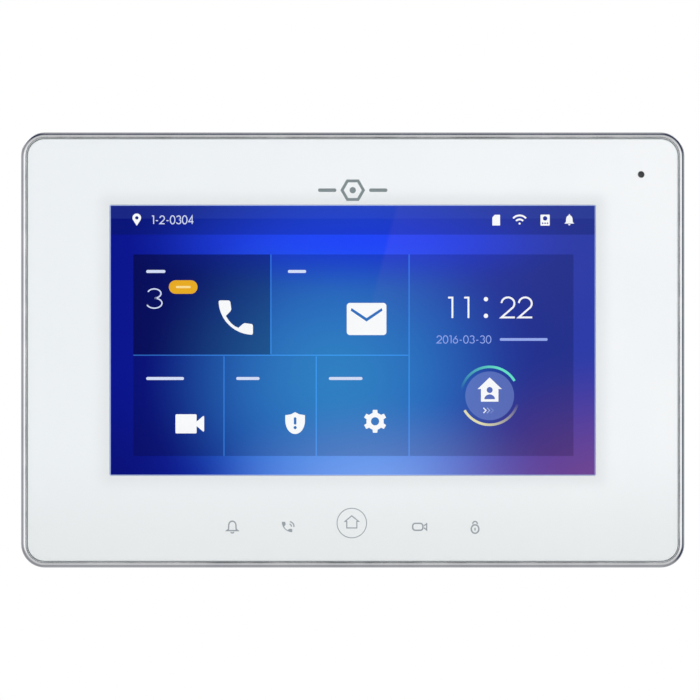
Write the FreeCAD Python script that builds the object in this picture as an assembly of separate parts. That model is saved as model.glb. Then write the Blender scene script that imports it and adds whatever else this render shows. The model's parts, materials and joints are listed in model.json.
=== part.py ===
import FreeCAD, Part
import math
import os

# A wall-mounted video intercom monitor with a 7-inch screen, in millimetres.
# X runs along the width, Z is up, and the wall is the plane y = 0. The glass faces -Y.
# The origin is the centre of the wall bracket's screw pattern, on the wall.
# "inset" is always a distance inwards from the monitor's outer outline.

V = FreeCAD.Vector

# ---------------------------------------------------------------- driving dimensions

width = 210.5
height = 138.1
depth = 26.0
corner_radius = 7.5

screen_width = 154.2
screen_height = 85.9
screen_z = 3.1
microphone_x = 91.5
microphone_z = 55.7

# front stack, from the glass backwards
glass_front = -depth
glass_thickness = 1.8
glass_inset = 2.15
print_thickness = 0.12
adhesive_thickness = 0.48
glass_back = glass_front + glass_thickness
print_back = glass_back + print_thickness
frame_front = print_back + adhesive_thickness
frame_thickness = 2.0
frame_back = frame_front + frame_thickness

# metal trim ring
trim_front = glass_front + 0.2
trim_back = -19.6
trim_width = 2.0
trim_outer_round = 1.4
trim_inner_bevel = 0.25
trim_ledge_inset = 4.0
trim_ledge_front = frame_back + 0.1

# rear cover
cover_inset = 3.75
cover_front = -19.5
cover_back = -2.0
cover_wall = 2.0
cover_chamfer = 4.0
cover_inner_back = cover_back - cover_wall
recess_floor = -3.8
recess_inner = recess_floor - cover_wall

# liquid crystal display module
display_width = 164.9
display_height = 100.0
display_z = screen_z - 1.1
display_front = -22.9
display_back = -17.3
sheet_metal = 0.3

# chassis plate and main board
chassis_front = -17.1
chassis_thickness = 0.8
chassis_back = chassis_front + chassis_thickness
board_left = -97.5
board_right = 70.0
board_bottom = -3.0
board_top = 46.0
board_thickness = 1.6
board_front = chassis_back + 0.8
board_back = board_front + board_thickness

# cable bay in the rear cover
bay_half_width = 45.0
bay_bottom = -42.0
bay_top = -5.0
bay_floor = -15.0
bay_floor_thickness = 1.2
bay_wall = 1.8

# wall bracket and its hooks
bracket_width = 116.0
bracket_height = 92.0
bracket_thickness = 1.2
bracket_corner = 5.0
hook_x = 52.0
hook_seats = (22.0, -30.0)
hook_width = 8.0
hook_lip = 5.0
hook_lip_y = -7.0
hook_bend = 1.2
lift_travel = 6.0
wall_hole_x = 52.0
wall_hole_z = 40.0
wall_hole_radius = 2.25
box_slot_spacing = 60.0
box_slot_length = 8.0
box_slot_radius = 2.1
tall_box_spacing = 83.5

# fasteners: head radius, head height, shank radius
case_screw = (2.8, 1.9, 1.4)
plate_screw = (2.5, 1.6, 1.25)
board_screw = (2.3, 1.5, 1.1)
thread_gap = 0.02
case_points = [(-80.0, 57.0), (0.0, 57.0), (80.0, 57.0), (-80.0, -57.0), (0.0, -57.0), (80.0, -57.0)]
chassis_points = [(-91.0, 50.0), (91.0, 40.0), (-91.0, -41.0), (91.0, -41.0)]
board_points = [(-76.0, 42.0), (65.0, 42.0), (-60.0, 6.0), (44.8, 3.5)]
case_boss_back = -10.8
case_boss_radius = 3.0
tube_radius = 4.8
tube_bore = 3.4
tube_seat = -9.0
tube_floor = 1.6

# loudspeaker
speaker_x = 77.0
speaker_z = -27.0
speaker_radius = 15.0
speaker_back = cover_inner_back - 0.6

# memory card and reset button, on the left side wall
card_z = 20.0
card_y = -12.95
card_length = 15.0
card_width = 11.0
card_thickness = 0.8
side_x = -(width / 2 - cover_inset)
side_recess = 0.6
reset_y = -12.2
reset_z = 4.0

# connectors that open downwards into the cable bay
jack_x = -30.0
alarm_x = 6.0
power_x = 36.0

# ---------------------------------------------------------------- shape helpers


def box(x0, x1, y0, y1, z0, z1):
    return Part.makeBox(x1 - x0, y1 - y0, z1 - z0, V(x0, y0, z0))


def block(x, z, size_x, size_z, y0, y1):
    """A box given by its centre and size in the XZ plane."""
    return box(x - size_x / 2, x + size_x / 2, y0, y1, z - size_z / 2, z + size_z / 2)


def rod_x(y, z, radius, x0, x1):
    return Part.makeCylinder(radius, x1 - x0, V(x0, y, z), V(1, 0, 0))


def rod_y(x, z, radius, y0, y1):
    return Part.makeCylinder(radius, y1 - y0, V(x, y0, z), V(0, 1, 0))


def rod_z(x, y, radius, z0, z1):
    return Part.makeCylinder(radius, z1 - z0, V(x, y, z0), V(0, 0, 1))


def outline(size_x, size_z, radius, y, x=0.0, z=0.0):
    """A rounded rectangle in the plane at y."""
    half_x = size_x / 2 - radius
    half_z = size_z / 2 - radius
    upper = [(half_x, half_z, 0), (-half_x, half_z, 90)]
    lower = [(-half_x, -half_z, 180), (half_x, -half_z, 270)]
    arcs = []
    for corner_x, corner_z, start in upper + lower:
        points = []
        for turn in (0, 45, 90):
            angle = math.radians(start + turn)
            point_x = x + corner_x + radius * math.cos(angle)
            point_z = z + corner_z + radius * math.sin(angle)
            points.append(V(point_x, y, point_z))
        arcs.append(points)
    edges = []
    for index, points in enumerate(arcs):
        edges.append(Part.Arc(*points).toShape())
        edges.append(Part.LineSegment(points[2], arcs[(index + 1) % 4][0]).toShape())
    return Part.Wire(edges)


def slab(size_x, size_z, radius, y0, y1, x=0.0, z=0.0):
    """A plate with a rounded-rectangle outline."""
    return Part.Face(outline(size_x, size_z, radius, y0, x, z)).extrude(V(0, y1 - y0, 0))


def inset_slab(inset, y0, y1):
    """A plate whose outline is parallel to the monitor's own."""
    radius = corner_radius - min(inset, corner_radius - 1.0)
    return slab(width - 2 * inset, height - 2 * inset, radius, y0, y1)


def edges_at(shape, y):
    """The edges that lie wholly in the plane at y."""
    found = []
    for edge in shape.Edges:
        if abs(edge.BoundBox.YMin - y) < 1e-4 and abs(edge.BoundBox.YMax - y) < 1e-4:
            found.append(edge)
    return found


def joined(shapes):
    return shapes[0].fuse(shapes[1:]).removeSplitter()


def hollowed(shape, tools):
    return shape.cut(tools)


def round_bend(corner, before, after, radius):
    """The start, middle and end of the arc that replaces one corner of a route."""
    back = (before - corner).normalize()
    ahead = (after - corner).normalize()
    half_turn = (math.pi - back.getAngle(ahead)) / 2
    tangent = radius * math.tan(half_turn)
    inwards = (back + ahead).normalize()
    centre = corner + inwards * (radius / math.cos(half_turn))
    return corner + back * tangent, centre - inwards * radius, corner + ahead * tangent


def rounded_route(points, radii):
    """Straight runs joined by tangent arcs, as one wire."""
    edges = []
    start = points[0]
    for index in range(1, len(points) - 1):
        arc = round_bend(points[index], points[index - 1], points[index + 1], radii[index - 1])
        edges.append(Part.LineSegment(start, arc[0]).toShape())
        edges.append(Part.Arc(*arc).toShape())
        start = arc[2]
    edges.append(Part.LineSegment(start, points[-1]).toShape())
    return Part.Wire(edges)


def wire_lead(name, coordinates, diameter):
    """A round insulated lead along a route whose bends are as large as its runs allow."""
    points = [V(*each) for each in coordinates]
    radii = []
    for index in range(1, len(points) - 1):
        back = points[index - 1] - points[index]
        ahead = points[index + 1] - points[index]
        half_turn = (math.pi - back.getAngle(ahead)) / 2
        radii.append(0.45 * min(back.Length, ahead.Length) / math.tan(half_turn))
    path = rounded_route(points, radii)
    direction = (points[1] - points[0]).normalize()
    section = Part.Wire(Part.makeCircle(diameter / 2, points[0], direction))
    lead = path.makePipeShell([section], True, False)
    expected = math.pi * diameter ** 2 / 4 * path.Length
    smallest = round(min(radii), 1)
    print(name, "smallest bend", smallest, "volume ratio", round(lead.Volume / expected, 4))
    return lead


def ribbon(points, radius, thickness, start, end, flat_axis):
    """A flat strip bent along a route.

    The points lie in the plane normal to flat_axis, and the strip is as wide
    as start to end along that axis.
    """
    along = V(1, 0, 0) if flat_axis == "x" else V(0, 0, 1)
    route = []
    for first, second in points:
        route.append(V(start, first, second) if flat_axis == "x" else V(first, second, start))
    pieces = []
    for index in range(len(route) - 1):
        run_start = route[index]
        run_end = route[index + 1]
        if index > 0:
            run_start = round_bend(route[index], route[index - 1], route[index + 1], radius)[2]
        if index < len(route) - 2:
            run_end = round_bend(route[index + 1], route[index], route[index + 2], radius)[0]
        side = (run_end - run_start).normalize().cross(along) * (thickness / 2)
        corners = [run_start + side, run_end + side, run_end - side, run_start - side, run_start + side]
        pieces.append(Part.Face(Part.makePolygon(corners)))
    for index in range(1, len(route) - 1):
        arc = round_bend(route[index], route[index - 1], route[index + 1], radius)
        back = (route[index - 1] - route[index]).normalize()
        ahead = (route[index + 1] - route[index]).normalize()
        inwards = back + ahead
        centre = arc[1] + inwards.normalize() * radius
        rims = []
        for rim_radius in (radius - thickness / 2, radius + thickness / 2):
            rims.append([centre + (point - centre) * (rim_radius / radius) for point in arc])
        inner, outer = rims
        edges = [
            Part.Arc(*inner).toShape(),
            Part.LineSegment(inner[2], outer[2]).toShape(),
            Part.Arc(*reversed(outer)).toShape(),
            Part.LineSegment(outer[0], inner[0]).toShape(),
        ]
        pieces.append(Part.Face(Part.Wire(edges)))
    solids = [piece.extrude(along * (end - start)) for piece in pieces]
    return joined(solids) if len(solids) > 1 else solids[0]


def pan_screw(x, z, seat, size, length):
    """A pan-head cross-recess screw driven from behind, its head's underside at y = seat."""
    head_radius, head_height, shank_radius = size
    head = rod_y(x, z, head_radius, seat, seat + head_height)
    head = head.makeFillet(head_height * 0.45, edges_at(head, seat + head_height))
    shank = rod_y(x, z, shank_radius, seat - length, seat)
    shank = shank.makeChamfer(shank_radius * 0.4, edges_at(shank, seat - length))
    slot_depth = head_height * 0.55
    slot_width = head_radius * 0.24
    slot_length = head_radius * 1.1
    bottom = seat + head_height - slot_depth
    across = block(x, z, slot_length, slot_width, bottom, seat + head_height)
    down = block(x, z, slot_width, slot_length, bottom, seat + head_height)
    return hollowed(joined([head, shank]), [across, down])


def save(name, solids):
    """Write one node; a list is a group of separate solids."""
    shapes = solids if isinstance(solids, list) else [solids]
    parts = []
    for shape in shapes:
        parts.extend(shape.Solids)
    for part in parts:
        if not part.isValid() or part.Volume <= 0:
            print("BAD SOLID", name, part.Volume)
    if not isinstance(solids, list) and len(parts) != 1:
        print("NOT ONE SOLID", name, len(parts))
    whole = parts[0] if len(parts) == 1 else Part.makeCompound(parts)
    whole.exportStep("parts/" + name + ".step")


# ---------------------------------------------------------------- front of the monitor


def make_cover_glass():
    glass = inset_slab(glass_inset, glass_front, glass_back)
    edge_bevel = 0.3
    glass = glass.makeChamfer(edge_bevel, edges_at(glass, glass_front))
    hole_radius = 1.0
    return glass.cut(rod_y(microphone_x, microphone_z, hole_radius, glass_front - 1, glass_back + 1))


def make_print_layer():
    border = 0.15
    layer = inset_slab(glass_inset + border, glass_back, print_back)
    rim = 0.1
    window_corner = 0.4
    window_size = (screen_width + rim, screen_height + rim)
    window = slab(*window_size, window_corner, glass_back - 1, print_back + 1, 0, screen_z)
    hole = rod_y(microphone_x, microphone_z, 1.1, glass_back - 1, print_back + 1)
    return hollowed(layer, [window, hole])


def make_glass_adhesive():
    tape = inset_slab(2.6, print_back, frame_front)
    return tape.cut(inset_slab(6.5, print_back - 1, frame_front + 1))


def make_trim_ring():
    ring = inset_slab(0.0, trim_front, trim_back)
    ring = ring.makeFillet(trim_outer_round, edges_at(ring, trim_front))
    ring = ring.cut(inset_slab(trim_ledge_inset, trim_front - 1, trim_back + 1))
    ring = ring.cut(inset_slab(trim_width, trim_front - 1, trim_ledge_front))
    inner_edges = []
    for edge in edges_at(ring, trim_front):
        reach = max(abs(edge.BoundBox.XMax), abs(edge.BoundBox.XMin))
        if reach < width / 2 - trim_width + 0.01:
            inner_edges.append(edge)
    return ring.makeChamfer(trim_inner_bevel, inner_edges)


def make_front_frame():
    frame = inset_slab(2.2, frame_front, frame_back)
    wall_inset = 5.9
    wall_thickness = 1.2
    wall_back = -16.5
    wall_corner = 4.2
    wall_x = width - 2 * wall_inset
    wall_z = height - 2 * wall_inset
    wall = slab(wall_x, wall_z, wall_corner, frame_back, wall_back)
    inner_x = wall_x - 2 * wall_thickness
    inner_z = wall_z - 2 * wall_thickness
    wall = wall.cut(slab(inner_x, inner_z, wall_corner - wall_thickness, frame_back - 1, wall_back + 1))
    pieces = [frame, wall]
    for x, z in case_points:
        pieces.append(rod_y(x, z, case_boss_radius, frame_back, case_boss_back))
        reach = 1 if z > 0 else -1
        rib_end = reach * (height / 2 - wall_inset - wall_thickness / 2)
        rib_thickness = 1.2
        rib_back = -15.0
        rib_from = min(z, rib_end)
        rib_to = max(z, rib_end)
        rib = box(x - rib_thickness / 2, x + rib_thickness / 2, frame_back, rib_back, rib_from, rib_to)
        pieces.append(rib)
    for x, z in chassis_points:
        pieces.append(rod_y(x, z, case_boss_radius, frame_back, chassis_front))
    boot_holder = 4.8
    pieces.append(rod_y(microphone_x, microphone_z, boot_holder, frame_back, -18.6))
    frame = joined(pieces)

    opening_gap = 1.75
    opening_x = display_width + 2 * opening_gap
    opening_z = display_height + 2 * 1.2
    cuts = [slab(opening_x, opening_z, 1.0, frame_front - 1, frame_back, 0, display_z)]
    pilot_depth = 10.0
    pilot = case_screw[2] + thread_gap
    for x, z in case_points:
        cuts.append(rod_y(x, z, pilot, case_boss_back - pilot_depth, case_boss_back + 1))
    for x, z in chassis_points:
        cuts.append(rod_y(x, z, plate_screw[2] + thread_gap, frame_back - 0.5, chassis_front + 1))
    cuts.append(rod_y(microphone_x, microphone_z, 1.2, frame_front - 1, frame_back))
    cuts.append(rod_y(microphone_x, microphone_z, 4.0, frame_back, 0))
    cuts.append(key_ribbon_slot())
    return hollowed(frame, cuts)


def make_mic_gasket():
    ring = rod_y(microphone_x, microphone_z, 2.6, print_back, frame_front)
    return ring.cut(rod_y(microphone_x, microphone_z, 1.3, print_back - 1, frame_front + 1))


def make_mic_boot():
    boot = rod_y(microphone_x, microphone_z, 3.95, frame_back, -18.2)
    pocket = rod_y(microphone_x, microphone_z, 3.0, frame_back + 0.5, -17.0)
    port = rod_y(microphone_x, microphone_z, 1.2, frame_back - 1, frame_back + 1)
    return hollowed(boot, [pocket, port])


def make_microphone():
    return rod_y(microphone_x, microphone_z, 2.95, frame_back + 0.5, -18.4)


# ---------------------------------------------------------------- touch keys under the glass

key_film_left = -52.0
key_film_right = 62.0
key_film_bottom = -61.3
key_film_top = -49.6
key_film_back = print_back + 0.35
key_ribbon_left = 50.0
key_ribbon_right = 60.0
key_ribbon_z = -55.3
ribbon_thickness = 0.3


def key_ribbon_slot():
    gap = 0.5
    return box(
        key_ribbon_left - gap,
        key_ribbon_right + gap,
        frame_front - 1,
        frame_back,
        key_ribbon_z - gap,
        key_ribbon_z + gap,
    )


def make_key_film():
    return box(key_film_left, key_film_right, print_back, key_film_back, key_film_bottom, key_film_top)


def ribbon_end(start_z):
    """Where both lower flat cables run up behind the chassis plate and into the board's connectors."""
    behind_plate = -15.6
    in_connector = -13.1
    return [(behind_plate, start_z), (behind_plate, -8.5), (in_connector, -4.5), (in_connector, -0.5)]


def make_key_ribbon():
    route = [(key_film_back, key_ribbon_z)] + ribbon_end(key_ribbon_z)
    return ribbon(route, 1.2, ribbon_thickness, key_ribbon_left, key_ribbon_right, "x")


# ---------------------------------------------------------------- touch panel and display

touch_width = 166.0
touch_height = 98.0
touch_back = print_back + 0.68
touch_ribbon_x = 83.5
touch_ribbon_z = (7.0, 19.0)


def make_touch_panel():
    return box(
        -touch_width / 2,
        touch_width / 2,
        print_back,
        touch_back,
        screen_z - touch_height / 2,
        screen_z + touch_height / 2,
    )


def make_touch_ribbon():
    tail = touch_width / 2 - 0.4
    outer = tail + 1.0
    connector_x = 69.0
    connector_y = -13.1
    bonded = (tail, touch_back + 0.15)
    turned = (outer, touch_back + 1.15)
    route = [bonded, turned, (outer, connector_y), (connector_x, connector_y)]
    return ribbon(route, 0.8, ribbon_thickness, touch_ribbon_z[0], touch_ribbon_z[1], "z")


def make_display_gasket():
    gasket = block(0, display_z, 161.0, 96.0, touch_back, display_front)
    return gasket.cut(block(0, screen_z, 157.0, 88.6, touch_back - 1, display_front + 1))


def make_display_bezel():
    """A pressed steel frame round the front of the display."""
    bezel_back = -19.4
    shell = block(0, display_z, display_width, display_height, display_front, bezel_back)
    inner_width = display_width - 2 * sheet_metal
    inner_height = display_height - 2 * sheet_metal
    inside = block(0, display_z, inner_width, inner_height, display_front + sheet_metal, bezel_back + 1)
    window = block(0, screen_z, screen_width + 1.4, screen_height + 1.4, display_front - 1, bezel_back)
    return hollowed(shell, [inside, window])


cell_back = -21.2
films_back = -20.7
guide_back = -18.2
panel_width = display_width - 2.0
panel_height = display_height - 2.4


def make_display_cell():
    return block(0, display_z, panel_width, panel_height, display_front + sheet_metal, cell_back)


def make_film_stack():
    return block(0, display_z, panel_width - 1.0, panel_height - 1.0, cell_back + 0.05, films_back)


led_bar_height = 1.2
guide_bottom = display_z - panel_height / 2 + led_bar_height + 0.4


def make_light_guide():
    top = display_z + panel_height / 2 - 0.5
    half = panel_width / 2 - 0.5
    return box(-half, half, films_back + 0.05, guide_back, guide_bottom, top)


def make_led_bar():
    """The backlight's strip with its row of light-emitting diodes, below the light guide."""
    bottom = guide_bottom - 0.1 - led_bar_height
    strip = box(-76.0, 76.0, films_back + 0.05, guide_back, bottom, bottom + 0.5)
    lamps = []
    lamp_count = 21
    lamp_pitch = 7.2
    lamp_half = 1.9
    front = films_back + 0.3
    back = guide_back - 0.3
    for index in range(lamp_count):
        x = (index - (lamp_count - 1) / 2) * lamp_pitch
        lamps.append(box(x - lamp_half, x + lamp_half, front, back, bottom + 0.5, bottom + led_bar_height))
    return joined([strip] + lamps)


def make_display_tray():
    """The pressed tray that closes the display's back."""
    tray_front = -19.3
    tray = block(0, display_z, display_width, display_height, tray_front, display_back)
    inner_width = display_width - 2 * sheet_metal
    inner_height = display_height - 2 * sheet_metal
    inside = block(0, display_z, inner_width, inner_height, tray_front - 1, display_back - sheet_metal)
    tail_gap = 0.6
    tail = box(
        display_ribbon_left - tail_gap,
        display_ribbon_right + tail_gap,
        tray_front - 1,
        -18.9,
        display_z - display_height / 2 - 1,
        display_z - display_height / 2 + 1,
    )
    beads = []
    bead_back = display_back - sheet_metal
    bead_depth = 0.25
    for x in (-45.0, 0.0, 45.0):
        beads.append(slab(26.0, 60.0, 3.0, bead_back - bead_depth, bead_back, x, display_z))
    shell = hollowed(tray, [inside, tail])
    return joined([shell] + beads)


display_ribbon_left = -68.0
display_ribbon_right = -50.0


def make_display_ribbon():
    bottom = display_z - display_height / 2
    turn_z = bottom - 3.0
    tail_y = -19.2
    route = [(tail_y, bottom + 0.4), (tail_y, turn_z)] + ribbon_end(turn_z)
    return ribbon(route, 1.2, ribbon_thickness, display_ribbon_left, display_ribbon_right, "x")


# ---------------------------------------------------------------- chassis plate and main board


def make_chassis_plate():
    pieces = [slab(174.0, 98.0, 3.0, chassis_front, chassis_back, 0, 3.5)]
    for x, z in chassis_points:
        ear = 7.0
        inner = x - math.copysign(8.0, x)
        pieces.append(slab(ear + 8.0, ear, 3.0, chassis_front, chassis_back, (x + inner) / 2, z))
    for x, z in board_points:
        pieces.append(rod_y(x, z, 3.0, chassis_back, board_front))
    plate = joined(pieces)
    cuts = []
    for x, z in chassis_points:
        cuts.append(rod_y(x, z, 1.45, chassis_front - 1, chassis_back + 1))
    for x, z in board_points:
        cuts.append(rod_y(x, z, board_screw[2] + thread_gap, chassis_front - 1, board_front + 1))
    ribbon_gap = 1.0
    slot_low = touch_ribbon_z[0] - ribbon_gap
    slot_high = touch_ribbon_z[1] + ribbon_gap
    slot_half = 1.2
    slot_left = touch_ribbon_x - slot_half
    slot_right = touch_ribbon_x + slot_half
    cuts.append(box(slot_left, slot_right, chassis_front - 1, chassis_back + 1, slot_low, slot_high))
    for left, right in ((display_ribbon_left, display_ribbon_right), (key_ribbon_left, key_ribbon_right)):
        left_edge = left - ribbon_gap
        right_edge = right + ribbon_gap
        cuts.append(box(left_edge, right_edge, chassis_front - 1, chassis_back + 1, -50.0, -44.5))
    for x in (-30.0, 0.0, 30.0):
        cuts.append(slab(18.0, 9.0, 4.4, chassis_front - 1, chassis_back + 1, x, 20.0))
    return hollowed(plate, cuts)


def make_main_board():
    middle_x = (board_left + board_right) / 2
    middle_z = (board_bottom + board_top) / 2
    size_x = board_right - board_left
    size_z = board_top - board_bottom
    board = slab(size_x, size_z, 1.5, board_front, board_back, middle_x, middle_z)
    cuts = []
    for x, z in board_points:
        cuts.append(rod_y(x, z, 1.3, board_front - 1, board_back + 1))
    notch_left = jack_x - 8.1
    notch_right = jack_x + 8.1
    notch_top = jack_top + 0.2
    cuts.append(box(notch_left, notch_right, board_front - 1, board_back + 1, board_bottom - 1, notch_top))
    return hollowed(board, cuts)


def chip(x, z, size_x, size_z, tall):
    package = block(x, z, size_x, size_z, board_back, board_back + tall)
    return package.makeChamfer(min(0.25, tall / 4), edges_at(package, board_back + tall))


def leg_rows(x, z, size_x, size_z, count, tall):
    """The two rows of gull-wing legs beside one package."""
    legs = []
    pitch = size_x / count
    leg_width = 0.4
    leg_length = 0.9
    for index in range(count):
        leg_x = x + (index - (count - 1) / 2) * pitch
        for side in (-1, 1):
            leg_z = z + side * (size_z + leg_length) / 2
            legs.append(block(leg_x, leg_z, leg_width, leg_length, board_back, board_back + tall / 2))
    return legs


processor_x = 2.0
processor_z = 27.0


def make_processor():
    return chip(processor_x, processor_z, 17.0, 17.0, 1.3)


def make_thermal_pad():
    return block(processor_x, processor_z, 16.0, 16.0, board_back + 1.3, board_back + 1.8)


def make_heat_sink():
    base_front = board_back + 1.8
    sink_width = 22.0
    sink = block(processor_x, processor_z, sink_width, sink_width, base_front, -6.5)
    channels = []
    channel_count = 6
    pitch = sink_width / (channel_count + 0.5)
    for index in range(channel_count):
        x = processor_x + (index - (channel_count - 1) / 2) * pitch
        channels.append(block(x, processor_z, pitch * 0.62, sink_width + 2, base_front + 1.4, 0))
    return hollowed(sink, channels)


def make_memory_chips():
    return [chip(25.0, 36.0, 9.0, 13.0, 1.1), chip(25.0, 20.0, 9.0, 13.0, 1.1)]


def make_small_chips():
    audio_chip = (-56.0, 20.0, 6.0, 5.0, 7, 1.6)
    charge_chip = (50.0, 20.0, 5.0, 4.4, 4, 1.5)
    power_chip = (-42.0, 40.0, 7.0, 5.0, 8, 1.5)
    packages = []
    for x, z, size_x, size_z, count, tall in (audio_chip, charge_chip, power_chip):
        legs = leg_rows(x, z, size_x, size_z, count, tall)
        packages.append(joined([chip(x, z, size_x, size_z, tall)] + legs))
    return packages


def make_wireless_module():
    can = block(-70.0, 26.0, 12.0, 16.0, board_back, board_back + 2.2)
    return can.makeFillet(0.4, edges_at(can, board_back + 2.2))


def make_antenna():
    return block(-43.0, 55.0, 34.0, 7.0, cover_inner_back - 0.8, cover_inner_back)


def make_antenna_lead():
    route = [
        (-70.0, board_back + 2.2, 31.0),
        (-70.0, -8.6, 31.0),
        (-66.0, -7.2, 37.0),
        (-62.0, -7.0, 44.0),
        (-61.0, -6.0, 51.5),
        (-55.0, -5.6, 55.0),
        (-47.0, -5.45, 55.4),
    ]
    return wire_lead("antenna_lead", route, 1.1)


def make_network_transformer():
    body = chip(jack_x, 25.0, 12.6, 7.4, 5.4)
    return joined([body] + leg_rows(jack_x, 25.0, 12.6, 7.4, 8, 2.0))


def make_capacitors():
    cans = []
    for x, z in ((58.0, 10.0), (58.0, 27.0), (40.0, 12.0)):
        can = rod_y(x, z, 3.15, board_back + 0.6, board_back + 6.2)
        can = can.makeFillet(0.5, edges_at(can, board_back + 6.2))
        foot = block(x, z, 6.6, 6.6, board_back, board_back + 0.6)
        cans.append(joined([can, foot]))
    return cans


def make_inductors():
    coils = []
    for x, z in ((48.0, 12.0), (-50.0, 12.0), (-14.0, 12.0)):
        coil = block(x, z, 7.0, 7.0, board_back, board_back + 3.2)
        coils.append(coil.makeChamfer(0.5, edges_at(coil, board_back + 3.2)))
    return coils


cell_x = 46.0
cell_z = 36.0


def make_cell_holder():
    holder = rod_y(cell_x, cell_z, 7.6, board_back, board_back + 3.4)
    pocket = rod_y(cell_x, cell_z, 6.35, board_back + 0.8, board_back + 4)
    mouth = box(cell_x - 4.0, cell_x + 4.0, board_back + 2.0, board_back + 4, cell_z - 9.0, cell_z)
    return hollowed(holder, [pocket, mouth])


def make_coin_cell():
    cell = rod_y(cell_x, cell_z, 6.25, board_back + 0.8, board_back + 2.8)
    return cell.makeFillet(0.3, edges_at(cell, board_back + 2.8))


# ---------------------------------------------------------------- connectors in the cable bay

jack_front = -16.1
jack_back = -6.1
jack_top = 15.0
jack_half = 7.9
socket_half = 5.9
socket_front = -14.6
socket_back = -7.8
socket_deep = 13.0


def make_network_jack():
    """An eight-way modular network jack whose socket opens downwards."""
    mouth = bay_top - 1
    left = jack_x - socket_half
    right = jack_x + socket_half
    body = box(jack_x - jack_half, jack_x + jack_half, jack_front, jack_back, bay_top, jack_top)
    socket = box(left, right, socket_front, socket_back, mouth, bay_top + socket_deep)
    latch_half = 3.1
    latch_rise = 1.1
    latch_back = socket_back + latch_rise
    latch = box(jack_x - latch_half, jack_x + latch_half, socket_back, latch_back, mouth, bay_top + 9.0)
    return hollowed(body, [socket, latch])


def make_jack_contacts():
    """The eight sprung contact wires inside the network jack."""
    contacts = []
    contact_count = 8
    contact_pitch = 1.02
    contact_half = 0.2
    wall_run = socket_front + 0.35
    root = (wall_run, bay_top + socket_deep - 0.1)
    bend = (wall_run, bay_top + 2.5)
    tip = (socket_front + 1.9, bay_top + 8.5)
    for index in range(contact_count):
        x = jack_x + (index - (contact_count - 1) / 2) * contact_pitch
        contacts.append(ribbon([root, bend, tip], 0.6, 0.35, x - contact_half, x + contact_half, "x"))
    return contacts


def header_shell(x, ways, pitch, front, back, deep):
    """A pin header's moulded shroud, open downwards."""
    half = (ways * pitch + 1.6) / 2
    shell = box(x - half, x + half, front, back, bay_top, bay_top + deep)
    wall = 0.8
    end = half - wall
    roof = 1.6
    mouth = box(x - end, x + end, front + wall, back - wall, bay_top - 1, bay_top + deep - roof)
    return shell.cut(mouth)


def header_pins(x, ways, pitch, front, back, deep):
    """Bent square pins: one leg in the shroud's mouth, the other down to the board."""
    pins = []
    middle = (front + back) / 2
    for index in range(ways):
        pin_x = x + (index - (ways - 1) / 2) * pitch
        tip = bay_top + 1.6
        route = [(middle, tip), (middle, bay_top + deep + 2.0), (board_back, bay_top + deep + 2.0)]
        pins.append(ribbon(route, 1.0, 0.8, pin_x - 0.4, pin_x + 0.4, "x"))
    return pins


def pin_holes(x, ways, pitch, front, back, deep):
    holes = []
    middle = (front + back) / 2
    for index in range(ways):
        pin_x = x + (index - (ways - 1) / 2) * pitch
        top = bay_top + deep
        holes.append(box(pin_x - 0.4, pin_x + 0.4, middle - 0.4, middle + 0.4, top - 2.0, top + 1))
    return holes


alarm_header = (alarm_x, 8, 3.5, board_back, -6.5, 9.2)
power_header = (power_x, 2, 5.0, board_back, -6.5, 9.2)


def make_header(size):
    return hollowed(header_shell(*size), pin_holes(*size))


def make_board_connectors():
    """Flat-cable connectors at the board's edges and two small wire connectors."""
    flat_half = 1.8
    middle = -13.1
    pieces = []
    for left, right in ((display_ribbon_left, display_ribbon_right), (key_ribbon_left, key_ribbon_right)):
        if left > 0:
            shell = box(left - 1.5, right + 1.5, board_back, board_back + flat_half, -2.5, 2.0)
        else:
            shell = box(left - 1.5, right + 1.5, board_back, board_back + flat_half, -2.5, 2.5)
        slot = box(left - 0.1, right + 0.1, middle - 0.2, middle + 0.2, -3.5, 0.0)
        pieces.append(shell.cut(slot))
    low, high = touch_ribbon_z
    shell = box(65.5, 69.9, board_back, board_back + flat_half, low - 1.5, high + 1.5)
    slot = box(68.5, 71.0, middle - 0.2, middle + 0.2, low - 0.1, high + 0.1)
    pieces.append(shell.cut(slot))
    for z in wire_connector_z:
        pieces.append(box(64.0, 69.5, board_back, board_back + 3.4, z - 3.0, z + 3.0))
    return pieces


wire_connector_z = (27.5, 36.0)


# ---------------------------------------------------------------- memory card and reset button


def make_card_socket():
    half_width = 7.2
    socket = box(-97.2, -82.2, board_back, board_back + 1.95, card_z - half_width, card_z + half_width)
    gap = 0.12
    low = card_y - card_thickness / 2 - gap
    high = card_y + card_thickness / 2 + gap
    half_card = card_width / 2 + gap
    pocket = box(-98.0, -84.8, low, high, card_z - half_card, card_z + half_card)
    return socket.cut(pocket)


def make_memory_card():
    outer = side_x + side_recess
    low = card_y - card_thickness / 2
    high = card_y + card_thickness / 2
    half = card_width / 2
    card = box(outer, outer + card_length, low, high, card_z - half, card_z + half)
    notch_length = 6.5
    notch_width = 1.3
    notch_start = outer + 4.0
    notch_end = notch_start + notch_length
    notch = box(notch_start, notch_end, low - 1, high + 1, card_z + half - notch_width, card_z + half + 1)
    ridge = box(outer, outer + 0.8, high, high + 0.2, card_z - half + 0.6, card_z + half - 0.6)
    return joined([card.cut(notch), ridge])


def make_reset_switch():
    switch = box(-97.2, -92.8, board_back, board_back + 3.6, reset_z - 3.0, reset_z + 3.0)
    return switch.cut(rod_x(reset_y, reset_z, 0.95, -98.0, -94.0))


def make_reset_plunger():
    return rod_x(reset_y, reset_z, 0.85, -98.3, -94.9)


def make_reset_button():
    cap = rod_x(reset_y, reset_z, 2.0, side_x + side_recess, -99.0)
    flange = rod_x(reset_y, reset_z, 2.8, -99.3, -98.3)
    return joined([cap, flange])


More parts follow.
